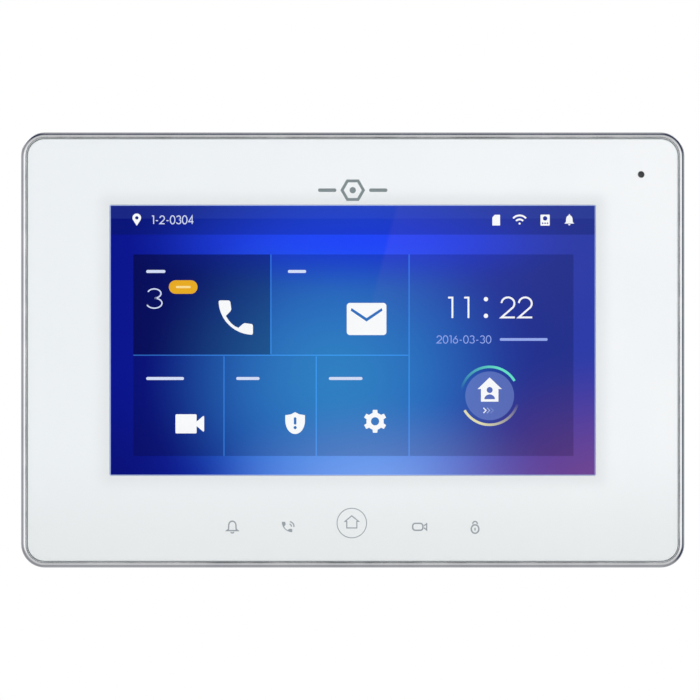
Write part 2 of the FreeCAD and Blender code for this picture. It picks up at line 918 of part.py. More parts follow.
# ---------------------------------------------------------------- loudspeaker

cone_radius = 11.2
surround_outer = 13.3
lug_spacing = 4.4
lug_top = speaker_z + 18.0


def speaker_rod(radius, y0, y1):
    return rod_y(speaker_x, speaker_z, radius, y0, y1)


def turned_about_speaker(points):
    """A ring or disc from a section of (radius, y) points turned about the speaker's axis."""
    corners = [V(speaker_x + radius, y, speaker_z) for radius, y in points]
    section = Part.Face(Part.makePolygon(corners + [corners[0]]))
    return section.revolve(V(speaker_x, 0, speaker_z), V(0, 1, 0), 360)


def make_speaker_basket():
    """The pressed steel basket: a flat rim, a conical wall and a seat for the magnet."""
    rim_front = speaker_back - 1.2
    points = [
        (speaker_radius, speaker_back),
        (speaker_radius, rim_front),
        (13.9, rim_front),
        (10.4, -11.0),
        (5.4, -11.0),
        (5.4, -10.2),
        (9.8, -10.2),
        (12.6, -6.0),
        (surround_outer + 0.1, -6.0),
        (surround_outer + 0.1, speaker_back),
    ]
    basket = turned_about_speaker(points)
    windows = []
    window_count = 4
    for index in range(window_count):
        angle = 360.0 / window_count * index + 45.0
        window = box(speaker_x + 9.6, speaker_x + 13.2, -10.4, -6.6, speaker_z - 3.0, speaker_z + 3.0)
        window.rotate(V(speaker_x, 0, speaker_z), V(0, 1, 0), angle)
        windows.append(window)
    return hollowed(basket, windows)


def make_speaker_magnet():
    """Magnet, pole and back plate as one stack, with the gap for the voice coil."""
    stack = speaker_rod(8.6, -14.6, -11.0)
    groove = speaker_rod(5.0, -13.4, -10.0).cut(speaker_rod(3.6, -15.0, -9.0))
    return stack.cut(groove)


def make_speaker_terminals():
    """The insulating strip with two solder lugs on the basket's edge."""
    strip = box(speaker_x - 4.0, speaker_x + 4.0, -9.2, -8.4, speaker_z + 12.2, speaker_z + 16.6)
    lugs = []
    for side in (-1, 1):
        x = speaker_x + side * lug_spacing / 2
        lugs.append(box(x - 0.7, x + 0.7, -9.6, -9.2, speaker_z + 13.4, lug_top))
    return [strip] + lugs


def make_voice_coil():
    coil = speaker_rod(4.65, -12.6, -8.8)
    return coil.cut(speaker_rod(3.95, -13.0, -8.0))


def make_speaker_cone():
    """A shallow paper cone with its dust cap; the voice coil hangs from its neck."""
    points = [(3.9, -8.8), (4.9, -8.8), (cone_radius, -6.0), (cone_radius, -5.6), (4.9, -8.2), (3.9, -7.4)]
    cone = turned_about_speaker(points)
    cap_points = [(0.0, -7.0), (0.0, -7.4), (2.4, -7.7), (3.9, -8.8), (3.9, -7.4), (2.6, -7.1)]
    cap = turned_about_speaker(cap_points)
    return joined([cone, cap])


def make_speaker_surround():
    points = [(cone_radius, -6.0), (surround_outer, -6.0), (surround_outer, -5.6), (cone_radius, -5.6)]
    return turned_about_speaker(points)


def make_speaker_gasket():
    ring = speaker_rod(14.6, speaker_back, cover_inner_back)
    return ring.cut(speaker_rod(surround_outer + 0.1, speaker_back - 1, cover_inner_back + 1))


def make_speaker_leads():
    leads = []
    for side in (-1, 1):
        start_x = speaker_x + side * lug_spacing / 2
        end_z = wire_connector_z[0] - side * 1.2
        route = [
            (start_x, -9.4, lug_top),
            (start_x, -9.4, lug_top + 6.0),
            (start_x - side * 0.9, -11.4, 8.0),
            (79.6 + side * 1.0, -12.2, 17.0),
            (79.0 + side * 1.2, -12.2, end_z),
            (69.5, -12.2, end_z),
        ]
        leads.append(wire_lead("speaker_leads", route, 1.2))
    return leads


def make_mic_leads():
    leads = []
    for side in (-1, 1):
        end_z = wire_connector_z[1] + side * 1.2
        start_x = microphone_x + side * 1.2
        route = [
            (start_x, -18.4, microphone_z),
            (start_x, -13.6, microphone_z),
            (89.0 + side * 0.9, -12.4, 48.0),
            (83.0 + side * 0.4, -12.2, 39.5 + side * 1.0),
            (77.0, -12.2, end_z),
            (69.5, -12.2, end_z),
        ]
        leads.append(wire_lead("mic_leads", route, 1.0))
    return leads


# ---------------------------------------------------------------- rear cover


def hook_slot(x, seat):
    """The opening that one bracket hook passes through; its upper edge hangs on the hook."""
    side_gap = 0.6
    slot_height = hook_lip + bracket_thickness + 1.3
    rest_gap = 0.05
    half = hook_width / 2 + side_gap
    return box(x - half, x + half, recess_inner - 1, cover_back + 1, seat - slot_height, seat + rest_gap)


def make_rear_cover():
    outer_width = width - 2 * cover_inset
    outer_height = height - 2 * cover_inset
    outer = slab(outer_width, outer_height, 6.0, cover_front, cover_back)
    outer = outer.makeChamfer(cover_chamfer, edges_at(outer, cover_back))
    inner_width = outer_width - 2 * cover_wall
    inner_height = outer_height - 2 * cover_wall
    inner = slab(inner_width, inner_height, 4.0, cover_front - 1, cover_inner_back)
    inner = inner.makeChamfer(cover_chamfer - 0.8, edges_at(inner, cover_inner_back))
    shell = outer.cut(inner)

    # shallow recess that the wall bracket nests in, with room to lift the monitor off
    side_gap = 0.8
    recess_half = bracket_width / 2 + side_gap
    recess_bottom = -(bracket_height / 2 + side_gap + lift_travel)
    recess_top = bracket_height / 2 + side_gap
    recess_z = (recess_bottom + recess_top) / 2
    recess_height = recess_top - recess_bottom
    pan_width = 2 * recess_half + 2 * cover_wall
    pan_height = recess_height + 2 * cover_wall
    pieces = [shell, slab(pan_width, pan_height, 5.0, recess_inner, cover_inner_back, 0, recess_z)]

    # walls and floor of the cable bay
    bay_outer = bay_half_width + bay_wall
    bay_front = bay_floor - bay_floor_thickness
    bay_low = bay_bottom - bay_wall
    bay_high = bay_top + bay_wall
    bay_body = box(-bay_outer, bay_outer, bay_front, recess_inner, bay_low, bay_high)
    pieces.append(bay_body)

    # tubes that carry the case screws' heads
    for x, z in case_points:
        pieces.append(rod_y(x, z, tube_radius, tube_seat - tube_floor, cover_inner_back))

    # ring that locates the loudspeaker
    locator = speaker_rod(speaker_radius + 1.5, speaker_back - 0.8, cover_inner_back)
    pieces.append(locator.cut(speaker_rod(speaker_radius + 0.3, speaker_back - 2, cover_inner_back)))

    # stiffening ribs along the top and bottom
    for x in (-60.0, -20.0, 20.0, 60.0):
        for z0, z1 in ((recess_top + cover_wall, 62.0), (-62.0, recess_bottom - cover_wall)):
            if x < 0 and z0 > 0:
                continue
            pieces.append(box(x - 0.6, x + 0.6, recess_inner, cover_inner_back, z0, z1))
    cover = joined(pieces)

    cuts = [slab(2 * recess_half, recess_height, 4.0, recess_floor, cover_back + 1, 0, recess_z)]
    cuts.append(box(-bay_half_width, bay_half_width, bay_floor, cover_back + 1, bay_bottom, bay_top))
    for x in (-hook_x, hook_x):
        for seat in hook_seats:
            cuts.append(hook_slot(x, seat))
    for x, z in case_points:
        cuts.append(rod_y(x, z, tube_bore, tube_seat, cover_back + 1))
        cuts.append(rod_y(x, z, case_screw[2] + 0.2, tube_seat - tube_floor - 1, tube_seat + 1))
    cuts.extend(connector_cutouts())
    cuts.extend(grille_holes())
    cuts.extend(vent_slots())
    cuts.extend(side_openings())
    return hollowed(cover, cuts)


def connector_cutouts():
    """Openings in the bay's top wall for the three connectors."""
    gap = 0.2
    low = bay_top - 1
    high = bay_top + bay_wall + 1
    jack_room = jack_half + gap
    cuts = [box(jack_x - jack_room, jack_x + jack_room, jack_front - 1, jack_back + 0.1, low, high)]
    for x, ways, pitch, front, back, deep in (alarm_header, power_header):
        half = (ways * pitch + 1.6) / 2 + gap
        cuts.append(box(x - half, x + half, front - gap, back + gap, low, high))
    return cuts


def grille_holes():
    """Rings of round holes over the loudspeaker."""
    holes = [speaker_rod(0.9, cover_inner_back - 1, cover_back + 1)]
    ring_pitch = 3.3
    for ring in (1, 2, 3):
        for index in range(6 * ring):
            angle = math.radians(60.0 / ring * index)
            x = speaker_x + ring * ring_pitch * math.cos(angle)
            z = speaker_z + ring * ring_pitch * math.sin(angle)
            holes.append(rod_y(x, z, 0.9, cover_inner_back - 1, cover_back + 1))
    return holes


def vent_slots():
    """Two rows of upright ventilation slots through the back wall."""
    slots = []
    for index in range(8):
        x = 24.8 + 4.4 * index
        slots.append(slab(1.6, 9.0, 0.79, cover_inner_back - 1, cover_back + 1, x, 54.5))
    for index in range(8):
        for side in (-1, 1):
            x = side * (24.8 + 4.4 * index)
            slots.append(slab(1.6, 5.0, 0.79, cover_inner_back - 1, cover_back + 1, x, -58.0))
    return slots


def side_openings():
    """The memory card's slot with its fingernail scoop, and the reset button's hole."""
    slot_gap = 0.5
    half = card_width / 2 + slot_gap
    low = card_y - card_thickness / 2 - slot_gap
    high = card_y + card_thickness / 2 + 0.2 + slot_gap
    slot = box(side_x - 1, side_x + cover_wall + 1, low, high, card_z - half, card_z + half)
    scoop_depth = 0.7
    scoop = rod_z(side_x - 4.0 + scoop_depth, card_y, 4.0, card_z - 3.5, card_z + 3.5)
    hole = rod_x(reset_y, reset_z, 2.2, side_x - 1, side_x + cover_wall + 1)
    return [slot, scoop, hole]


# ---------------------------------------------------------------- wall bracket


def make_hook(x, seat):
    """One tongue, lanced from the plate, bent out level and up again."""
    shelf_z = seat - bracket_thickness / 2
    plate_y = -bracket_thickness / 2
    root = (plate_y, shelf_z - 3.0)
    tip = (hook_lip_y, seat + hook_lip)
    route = [root, (plate_y, shelf_z), (hook_lip_y, shelf_z), tip]
    half = hook_width / 2
    return ribbon(route, hook_bend, bracket_thickness, x - half, x + half, "x")


def make_wall_bracket():
    plate = slab(bracket_width, bracket_height, bracket_corner, -bracket_thickness, 0.0)
    cuts = []
    lance_gap = 0.5
    lance_height = 11.5
    for x in (-hook_x, hook_x):
        for seat in hook_seats:
            half = hook_width / 2 + lance_gap
            shelf_bottom = seat - bracket_thickness
            lance_low = shelf_bottom - 1.2
            cuts.append(box(x - half, x + half, -2.0, 1.0, lance_low, shelf_bottom + lance_height))
    for x in (-wall_hole_x, wall_hole_x):
        for z in (-wall_hole_z, wall_hole_z):
            cuts.append(rod_y(x, z, wall_hole_radius, -2.0, 1.0))
    for x in (-box_slot_spacing / 2, box_slot_spacing / 2):
        slot = slab(box_slot_length, 2 * box_slot_radius, box_slot_radius - 0.001, -2.0, 1.0, x, 0)
        cuts.append(slot)
    for z in (-tall_box_spacing / 2, tall_box_spacing / 2):
        cuts.append(rod_y(0, z, wall_hole_radius, -2.0, 1.0))
    window_bottom = -36.0
    window_top = -5.5
    window_half = 25.0
    window_height = window_top - window_bottom
    window_z = (window_bottom + window_top) / 2
    cuts.append(slab(2 * window_half, window_height, 4.0, -2.0, 1.0, 0, window_z))
    cuts.append(slab(44.0, 18.0, 4.0, -2.0, 1.0, 0, 22.0))
    plate = hollowed(plate, cuts)
    hooks = []
    for x in (-hook_x, hook_x):
        for seat in hook_seats:
            hooks.append(make_hook(x, seat))
    return joined([plate] + hooks)


# ---------------------------------------------------------------- fasteners


def make_case_screws():
    return [pan_screw(x, z, tube_seat, case_screw, 9.5) for x, z in case_points]


def make_chassis_screws():
    return [pan_screw(x, z, chassis_back, plate_screw, 5.0) for x, z in chassis_points]


def make_board_screws():
    return [pan_screw(x, z, board_back, board_screw, 3.1) for x, z in board_points]


# ---------------------------------------------------------------- all nodes

os.makedirs("parts", exist_ok=True)

save("wall_bracket", make_wall_bracket())

save("cover_glass", make_cover_glass())
save("print_layer", make_print_layer())
save("glass_adhesive", make_glass_adhesive())
save("trim_ring", make_trim_ring())
save("front_frame", make_front_frame())
save("rear_cover", make_rear_cover())
save("case_screws", make_case_screws())

save("key_film", make_key_film())
save("key_ribbon", make_key_ribbon())
save("touch_panel", make_touch_panel())
save("touch_ribbon", make_touch_ribbon())
save("display_gasket", make_display_gasket())
save("display_bezel", make_display_bezel())
save("display_cell", make_display_cell())
save("display_film_stack", make_film_stack())
save("display_light_guide", make_light_guide())
save("display_led_bar", make_led_bar())
save("display_tray", make_display_tray())
save("display_ribbon", make_display_ribbon())

save("chassis_plate", make_chassis_plate())
save("chassis_screws", make_chassis_screws())
save("main_board", make_main_board())
save("board_screws", make_board_screws())
save("processor_chip", make_processor())
save("thermal_pad", make_thermal_pad())
save("heat_sink", make_heat_sink())
save("memory_chips", make_memory_chips())
save("small_chips", make_small_chips())
save("wireless_module", make_wireless_module())
save("antenna", make_antenna())
save("antenna_lead", make_antenna_lead())
save("network_transformer", make_network_transformer())
save("network_jack", make_network_jack())
save("jack_contacts", make_jack_contacts())
save("alarm_header", make_header(alarm_header))
save("power_header", make_header(power_header))
save("header_pins", header_pins(*alarm_header) + header_pins(*power_header))
save("board_connectors", make_board_connectors())
save("capacitors", make_capacitors())
save("inductors", make_inductors())
save("cell_holder", make_cell_holder())
save("coin_cell", make_coin_cell())

save("card_socket", make_card_socket())
save("memory_card", make_memory_card())
save("reset_switch", make_reset_switch())
save("reset_plunger", make_reset_plunger())
save("reset_button", make_reset_button())

save("mic_gasket", make_mic_gasket())
save("mic_boot", make_mic_boot())
save("microphone", make_microphone())
save("mic_leads", make_mic_leads())

save("speaker_basket", make_speaker_basket())
save("speaker_magnet", make_speaker_magnet())
save("speaker_terminals", make_speaker_terminals())
save("speaker_gasket", make_speaker_gasket())
save("speaker_surround", make_speaker_surround())
save("speaker_cone", make_speaker_cone())
save("voice_coil", make_voice_coil())
save("speaker_leads", make_speaker_leads())
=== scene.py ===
import bmesh
import bpy
import json
import math
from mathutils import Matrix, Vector


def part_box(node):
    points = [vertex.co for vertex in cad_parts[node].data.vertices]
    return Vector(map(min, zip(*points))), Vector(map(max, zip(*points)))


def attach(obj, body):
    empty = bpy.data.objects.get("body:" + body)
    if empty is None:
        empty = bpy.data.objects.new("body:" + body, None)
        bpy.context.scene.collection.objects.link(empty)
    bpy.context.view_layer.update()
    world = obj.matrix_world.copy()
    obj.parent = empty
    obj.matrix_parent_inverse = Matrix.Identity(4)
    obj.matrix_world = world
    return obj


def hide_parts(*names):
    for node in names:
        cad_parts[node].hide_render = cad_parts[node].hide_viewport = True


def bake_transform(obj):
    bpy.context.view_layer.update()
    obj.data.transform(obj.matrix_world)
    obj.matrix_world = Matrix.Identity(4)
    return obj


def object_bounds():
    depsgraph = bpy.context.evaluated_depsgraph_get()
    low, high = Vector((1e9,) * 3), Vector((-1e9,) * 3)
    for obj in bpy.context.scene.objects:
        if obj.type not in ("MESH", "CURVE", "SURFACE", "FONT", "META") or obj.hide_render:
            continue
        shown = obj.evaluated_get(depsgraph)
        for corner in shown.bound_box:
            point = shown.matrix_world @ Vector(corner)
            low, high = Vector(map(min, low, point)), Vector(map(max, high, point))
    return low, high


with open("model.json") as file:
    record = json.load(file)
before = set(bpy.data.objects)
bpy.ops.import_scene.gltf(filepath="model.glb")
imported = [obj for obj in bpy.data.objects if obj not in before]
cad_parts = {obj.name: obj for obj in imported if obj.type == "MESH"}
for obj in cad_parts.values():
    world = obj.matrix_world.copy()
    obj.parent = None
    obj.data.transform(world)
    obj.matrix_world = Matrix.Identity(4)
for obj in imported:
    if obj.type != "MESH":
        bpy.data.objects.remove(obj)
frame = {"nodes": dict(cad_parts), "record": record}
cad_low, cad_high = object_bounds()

# The looks of a wall-mounted video intercom monitor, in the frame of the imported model.
# Lengths are in metres, the small ones written as millimetres times MM. The sizes of a material's
# features and the outlines of flat shapes are plain millimetres; plate() makes metres of those.
MM = 0.001
BODY = "monitor"

# ---------------------------------------------------------------- places read from the frame

glass_low, glass_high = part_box("cover_glass")
print_low, print_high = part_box("print_layer")
touch_low, touch_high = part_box("touch_panel")
cell_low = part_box("display_cell")[0]
cone_low, cone_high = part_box("speaker_cone")

SCREEN_WIDTH = 154.2 * MM
SCREEN_HEIGHT = 85.9 * MM
SCREEN_X = (touch_low.x + touch_high.x) / 2
SCREEN_Z = (touch_low.z + touch_high.z) / 2
SCREEN_LEFT = SCREEN_X - SCREEN_WIDTH / 2
SCREEN_TOP = SCREEN_Z + SCREEN_HEIGHT / 2

# ---------------------------------------------------------------- small node helpers


def srgb(red, green, blue):
    """A display colour, 0 to 255, as linear light with alpha."""
    channels = []
    for value in (red, green, blue):
        part = value / 255
        channels.append(part / 12.92 if part <= 0.04045 else ((part + 0.055) / 1.055) ** 2.4)
    return (*channels, 1.0)


def new_material(name):
    material = bpy.data.materials.new(name)
    material.use_nodes = True
    material.node_tree.nodes.clear()
    return material, material.node_tree


def put(tree, kind, settings=None, **inputs):
    """Add a node. Inputs are named with _ for a space, or by number as n0, n1 and so on."""
    node = tree.nodes.new("ShaderNode" + kind)
    for key, value in (settings or {}).items():
        setattr(node, key, value)
    for key, value in inputs.items():
        place = int(key[1:]) if key[0] == "n" and key[1:].isdigit() else key.replace("_", " ")
        socket = node.inputs[place]
        if isinstance(value, bpy.types.NodeSocket):
            tree.links.new(value, socket)
        else:
            socket.default_value = value
    return node


def object_place(tree, scale=(1, 1, 1), origin=(0, 0, 0)):
    """Object coordinates, which are the model's frame in metres, moved to origin and scaled."""
    place = put(tree, "TexCoord").outputs["Object"]
    moved = put(tree, "VectorMath", {"operation": "SUBTRACT"}, n0=place, n1=origin).outputs[0]
    return put(tree, "VectorMath", {"operation": "MULTIPLY"}, n0=moved, n1=scale).outputs[0]


def math_node(tree, operation, first, second=0.0):
    return put(tree, "Math", {"operation": operation}, n0=first, n1=second).outputs[0]


def spread(tree, value, low, high, start=0.0, end=1.0, smooth=False):
    """Map a value from start..end to low..high, clamped."""
    settings = {"interpolation_type": "SMOOTHSTEP" if smooth else "LINEAR"}
    node = put(tree, "MapRange", settings, n0=value, n1=start, n2=end, n3=low, n4=high)
    return node.outputs[0]


def contrast(tree, value, start=0.3, end=0.7):
    """A noise's middle values, from start to end, stretched over 0 to 1."""
    return spread(tree, value, 0.0, 1.0, start, end)


def ramp(tree, value, start, end):
    """A smooth rise from 0 to 1 as the value goes from start to end."""
    return spread(tree, value, 0.0, 1.0, start, end, smooth=True)


def mixed(tree, factor, first, second, blend="MIX"):
    settings = {"data_type": "RGBA", "blend_type": blend}
    return put(tree, "Mix", settings, n0=factor, n6=first, n7=second).outputs[2]


def noise(tree, place, size, detail=3.0, roughness=0.55):
    """Clouds of about this size."""
    scale = 1 / (size * MM)
    return put(tree, "TexNoise", Vector=place, Scale=scale, Detail=detail,
               Roughness=roughness).outputs[0]


def cells(tree, place, size, feature="F1", metric="EUCLIDEAN"):
    """Cells of about this size."""
    settings = {"feature": feature, "distance": metric}
    return put(tree, "TexVoronoi", settings, Vector=place, Scale=1 / (size * MM))


def bands(tree, place, size, axis):
    """Even bands along an axis."""
    settings = {"bands_direction": axis}
    return put(tree, "TexWave", settings, Vector=place, Scale=1 / (size * MM)).outputs[1]


def bump(tree, height, strength, distance):
    return put(tree, "Bump", Height=height, Strength=strength, Distance=distance).outputs[0]


def finish_with(tree, shader):
    put(tree, "OutputMaterial", Surface=shader)


def finish_solid(tree, **inputs):
    """Make one Principled shader the material's surface."""
    finish_with(tree, put(tree, "BsdfPrincipled", **inputs).outputs[0])


def tinted(colour, amount):
    return tuple(min(1.0, channel * amount) for channel in colour[:3]) + (1.0,)


# ---------------------------------------------------------------- materials


def surface(name, colour, roughness, metallic=0.0, grain=0.3, depth=0.01, strength=0.3,
            stretch=(1, 1, 1), blotch=0.04, blotch_size=30.0, rough_spread=0.06, coat=0.0,
            specular=0.5, pores=False):
    """A moulded, rolled, painted or plated surface.

    grain and blotch_size are feature sizes in millimetres and depth is the relief in millimetres.
    stretch draws the grain out along an axis, and pores makes round cells instead of grain.
    """
    material, tree = new_material(name)
    place = object_place(tree)
    stretched = object_place(tree, stretch)
    wide = noise(tree, place, blotch_size, 2.0)
    if pores:
        fine = cells(tree, stretched, grain).outputs["Distance"]
    else:
        fine = noise(tree, stretched, grain, 2.0)
    dark, light = tinted(colour, 1 - blotch), tinted(colour, 1 + blotch)
    shade = mixed(tree, contrast(tree, wide), dark, light)
    speck = spread(tree, fine, 0.0, 0.5, 0.35, 0.75)
    rough = spread(tree, fine, roughness - rough_spread, roughness + rough_spread, 0.3, 0.7)
    finish_solid(tree, Base_Color=mixed(tree, speck, shade, tinted(colour, 1 - 2 * blotch)),
                 Roughness=rough, Metallic=metallic, Normal=bump(tree, fine, strength, depth * MM),
                 Coat_Weight=coat, Specular_IOR_Level=specular)
    return material


def brushed_metal(name, colour, roughness, along="x", line=0.08):
    """Rolled or turned metal with fine lines along one axis."""
    stretches = {"x": (0.03, 1, 1), "y": (1, 0.03, 1), "z": (1, 1, 0.03)}
    return surface(name, colour, roughness, metallic=1.0, grain=line, depth=0.004, strength=0.25,
                   stretch=stretches[along], blotch=0.05, blotch_size=12.0, rough_spread=0.08)


def zinc_plate(name):
    """Zinc-plated sheet: faint crystals, rolling lines and a slight blue and yellow cast."""
    material, tree = new_material(name)
    place = object_place(tree)
    crystals = cells(tree, place, 5.0)
    crystal = put(tree, "SeparateColor", n0=crystals.outputs["Color"]).outputs[0]
    lines = noise(tree, object_place(tree, (0.02, 1, 1)), 0.12, 2.0)
    cast = noise(tree, place, 22.0, 2.0)
    bluish = srgb(206, 209, 213)
    yellowish = srgb(213, 211, 206)
    colour = mixed(tree, contrast(tree, cast, 0.35, 0.65), bluish, yellowish)
    colour = mixed(tree, spread(tree, crystal, 0.0, 0.12), colour, srgb(184, 187, 190))
    rough = math_node(tree, "ADD", spread(tree, crystal, 0.36, 0.46),
                      spread(tree, lines, -0.04, 0.06, 0.3, 0.7))
    normal = bump(tree, lines, 0.2, 0.006 * MM)
    finish_solid(tree, Base_Color=colour, Metallic=1.0, Roughness=rough, Normal=normal)
    return material


def polished_trim(name):
    """Bright plating over plastic, with a faint orange peel and a trace of handling haze."""
    material, tree = new_material(name)
    place = object_place(tree)
    haze = noise(tree, place, 9.0, 3.0)
    peel = noise(tree, place, 1.6, 1.0)
    colour = mixed(tree, contrast(tree, haze), srgb(214, 216, 219), srgb(226, 227, 229))
    rough = spread(tree, haze, 0.1, 0.16, 0.3, 0.7)
    normal = bump(tree, peel, 0.08, 0.006 * MM)
    finish_solid(tree, Base_Color=colour, Metallic=1.0, Roughness=rough, Normal=normal)
    return material


# How solid the ground edges of a pane look. Shadow and diffuse rays pass through them.
EDGE_FROST = 0.85


def clear_glass(name, tint, ior, smear):
    """A clear pane with ground edges: outward faces mirror by Fresnel's law."""
    material, tree = new_material(name)
    place = object_place(tree)
    geometry = put(tree, "NewGeometry")
    wipe = noise(tree, object_place(tree, (1.0, 1.0, 0.25)), 18.0, 3.0)
    cloud = noise(tree, place, 40.0)
    tone = mixed(tree, contrast(tree, cloud), tint, tinted(tint, 0.995))
    through = put(tree, "BsdfTransparent", Color=tone)

    normal = put(tree, "SeparateXYZ", n0=geometry.outputs["Normal"])
    ground = spread(tree, math_node(tree, "ABSOLUTE", normal.outputs["Y"]), 1.0, 0.0, 0.8, 0.9)
    frost = noise(tree, place, 0.2, 2.0)
    edge = mixed(tree, contrast(tree, frost), srgb(226, 232, 232), srgb(240, 245, 244))
    rough = math_node(tree, "ADD", spread(tree, wipe, 0.01, 0.01 + smear, 0.35, 0.75),
                      spread(tree, ground, 0.0, 0.5))
    solid = put(tree, "BsdfPrincipled", Base_Color=mixed(tree, ground, (1, 1, 1, 1), edge),
                Metallic=spread(tree, ground, 1.0, 0.0), Roughness=rough)

    outward = math_node(tree, "SUBTRACT", 1.0, geometry.outputs["Backfacing"])
    share = math_node(tree, "MULTIPLY", put(tree, "Fresnel", IOR=ior).outputs[0], outward)
    paths = put(tree, "LightPath")
    passing = math_node(tree, "MAXIMUM", paths.outputs["Is Shadow Ray"],
                        paths.outputs["Is Diffuse Ray"])
    frosted = math_node(tree, "MULTIPLY", ground, spread(tree, passing, EDGE_FROST, 0.0))
    share = math_node(tree, "MAXIMUM", share, frosted)
    shader = put(tree, "MixShader", n0=share, n1=through.outputs[0], n2=solid.outputs[0])
    finish_with(tree, shader.outputs[0])
    return material


def white_ink(name):
    """The opaque white behind the glass, greyer low down, with painted shade close round the screen
    window.
    """
    material, tree = new_material(name)
    place = object_place(tree, (1, 1, 1), (SCREEN_X, 0, SCREEN_Z))
    axes = put(tree, "SeparateXYZ", n0=place)
    beyond = []
    for axis, half in (("X", SCREEN_WIDTH / 2), ("Z", SCREEN_HEIGHT / 2)):
        distance = math_node(tree, "ABSOLUTE", axes.outputs[axis])
        distance = math_node(tree, "SUBTRACT", distance, half)
        distance = math_node(tree, "MAXIMUM", distance, 0.0)
        beyond.append(math_node(tree, "POWER", distance, 2.0))
    outside = math_node(tree, "SQRT", math_node(tree, "ADD", beyond[0], beyond[1]))
    # Painted shade: the white greys within 6 mm of the screen window.
    painted_window_shade = ramp(tree, outside, 0.0, 6.0 * MM)
    # Painted light: the white brightens from left to right, as if lit from the right.
    across = ramp(tree, axes.outputs["X"], -0.1, 0.1)
    cloud = noise(tree, place, 35.0, 2.0)
    below = spread(tree, axes.outputs["Z"], 1.0, 0.0, -0.07, -0.03, smooth=True)
    ink = mixed(tree, across, srgb(237, 241, 244), srgb(243, 245, 247))
    ink = mixed(tree, spread(tree, cloud, 0.0, 0.35, 0.4, 0.7), ink, srgb(238, 241, 246))
    ink = mixed(tree, below, ink, srgb(231, 234, 235))
    ink = mixed(tree, painted_window_shade, srgb(228, 231, 233), ink)
    grain = noise(tree, place, 0.15, 1.0)
    finish_solid(tree, Base_Color=ink, Roughness=0.5, Specular_IOR_Level=0.1,
                 Normal=bump(tree, grain, 0.05, 0.002 * MM))
    return material


def flat_cable(name):
    """Amber film with rows of copper conductors inside."""
    material, tree = new_material(name)
    place = object_place(tree)
    line = contrast(tree, bands(tree, place, 4.2, "X"), 0.45, 0.55)
    cloud = noise(tree, place, 6.0, 3.0)
    film = mixed(tree, contrast(tree, cloud), srgb(176, 112, 30), srgb(192, 128, 40))
    colour = mixed(tree, line, film, srgb(206, 120, 66))
    normal = bump(tree, line, 0.3, 0.02 * MM)
    finish_solid(tree, Base_Color=colour, Roughness=0.32, Coat_Weight=0.4, Normal=normal)
    return material


def circuit_board(name, mask, trace):
    """Solder mask over etched copper: angular traces, pads and a faint glass weave."""
    material, tree = new_material(name)
    place = object_place(tree, (1, 0, 1))
    routes = cells(tree, place, 5.5, "DISTANCE_TO_EDGE").outputs[0]
    route = spread(tree, routes, 1.0, 0.0, 0.03, 0.06)
    pads = cells(tree, place, 3.1, "F1", "CHEBYCHEV").outputs[0]
    pad = spread(tree, pads, 1.0, 0.0, 0.1, 0.13)
    weave = math_node(tree, "MULTIPLY", bands(tree, place, 2.6, "X"), bands(tree, place, 2.6, "Z"))
    colour = mixed(tree, spread(tree, weave, 0.0, 0.25), mask, tinted(mask, 1.4))
    colour = mixed(tree, route, colour, trace)
    colour = mixed(tree, pad, colour, srgb(205, 205, 198))
    normal = bump(tree, math_node(tree, "MAXIMUM", route, pad), 0.4, 0.035 * MM)
    finish_solid(tree, Base_Color=colour, Metallic=spread(tree, pad, 0.0, 0.9), Roughness=0.34,
                 Normal=normal, Coat_Weight=0.3)
    return material


def pressed_paper(name):
    """A loudspeaker cone's black paper: long fibres and shallow pressed rings."""
    material, tree = new_material(name)
    centre = (cone_low + cone_high) / 2
    place = object_place(tree, (1, 1, 1), tuple(centre))
    settings = {"wave_type": "RINGS", "rings_direction": "Y"}
    rings = put(tree, "TexWave", settings, Vector=place, Scale=1 / (6.0 * MM))
    fibres = noise(tree, place, 0.5, 6.0, 0.7)
    colour = mixed(tree, contrast(tree, fibres, 0.35, 0.7), srgb(44, 44, 46), srgb(74, 72, 70))
    relief = math_node(tree, "ADD", rings.outputs[1], math_node(tree, "MULTIPLY", fibres, 0.6))
    normal = bump(tree, relief, 0.5, 0.08 * MM)
    finish_solid(tree, Base_Color=colour, Roughness=0.85, Normal=normal)
    return material


def wound_copper(name):
    """Turns of enamelled wire round the loudspeaker's axis, with painted shade in the grooves
    between them.
    """
    material, tree = new_material(name)
    turns = bands(tree, object_place(tree), 1.2, "Y")
    # Painted shade: the copper darkens where the turns' relief dips between them.
    colour = mixed(tree, turns, srgb(120, 58, 28), srgb(206, 122, 70))
    normal = bump(tree, turns, 0.6, 0.05 * MM)
    finish_solid(tree, Base_Color=colour, Metallic=0.9, Roughness=0.3, Normal=normal)
    return material


# ---------------------------------------------------------------- the lit picture

# The picture glows this much brighter than its colours, for what the panes before it take.
PANE_LOSS = 1.07


def glow_material(name, colour_of):
    """A surface that only glows. colour_of makes the colour's nodes."""
    material, tree = new_material(name)
    colour = colour_of(tree)
    finish_solid(tree, Base_Color=(0, 0, 0, 1), Roughness=0.6, Specular_IOR_Level=0.0,
                 Emission_Color=colour, Emission_Strength=PANE_LOSS)
    return material


# The background's places are fractions of the screen's width and height, from its centre, right
# and up. Each pool of light: its colour, centre, half width, half height and strength.
POOLS = (
    (srgb(60, 158, 236), -0.03, -0.14, 0.41, 0.66, 0.95),
    (srgb(128, 168, 242), 0.06, -0.58, 0.4, 0.4, 0.85),
    (srgb(122, 72, 140), 0.6, -0.62, 0.6, 0.62, 0.95),
    (srgb(28, 62, 255), 0.0, 0.36, 0.5, 0.2, 0.8),
    (srgb(3, 10, 96), -0.56, -0.58, 0.4, 0.5, 0.6),
)
# The painted reflection, a sheen in the upper right, starts at a leaning edge, this far right for
# each step up, and lifts the colour by this much.
PAINTED_SHEEN_LEAN = 0.145
PAINTED_SHEEN_LIFT = srgb(36, 26, 6)


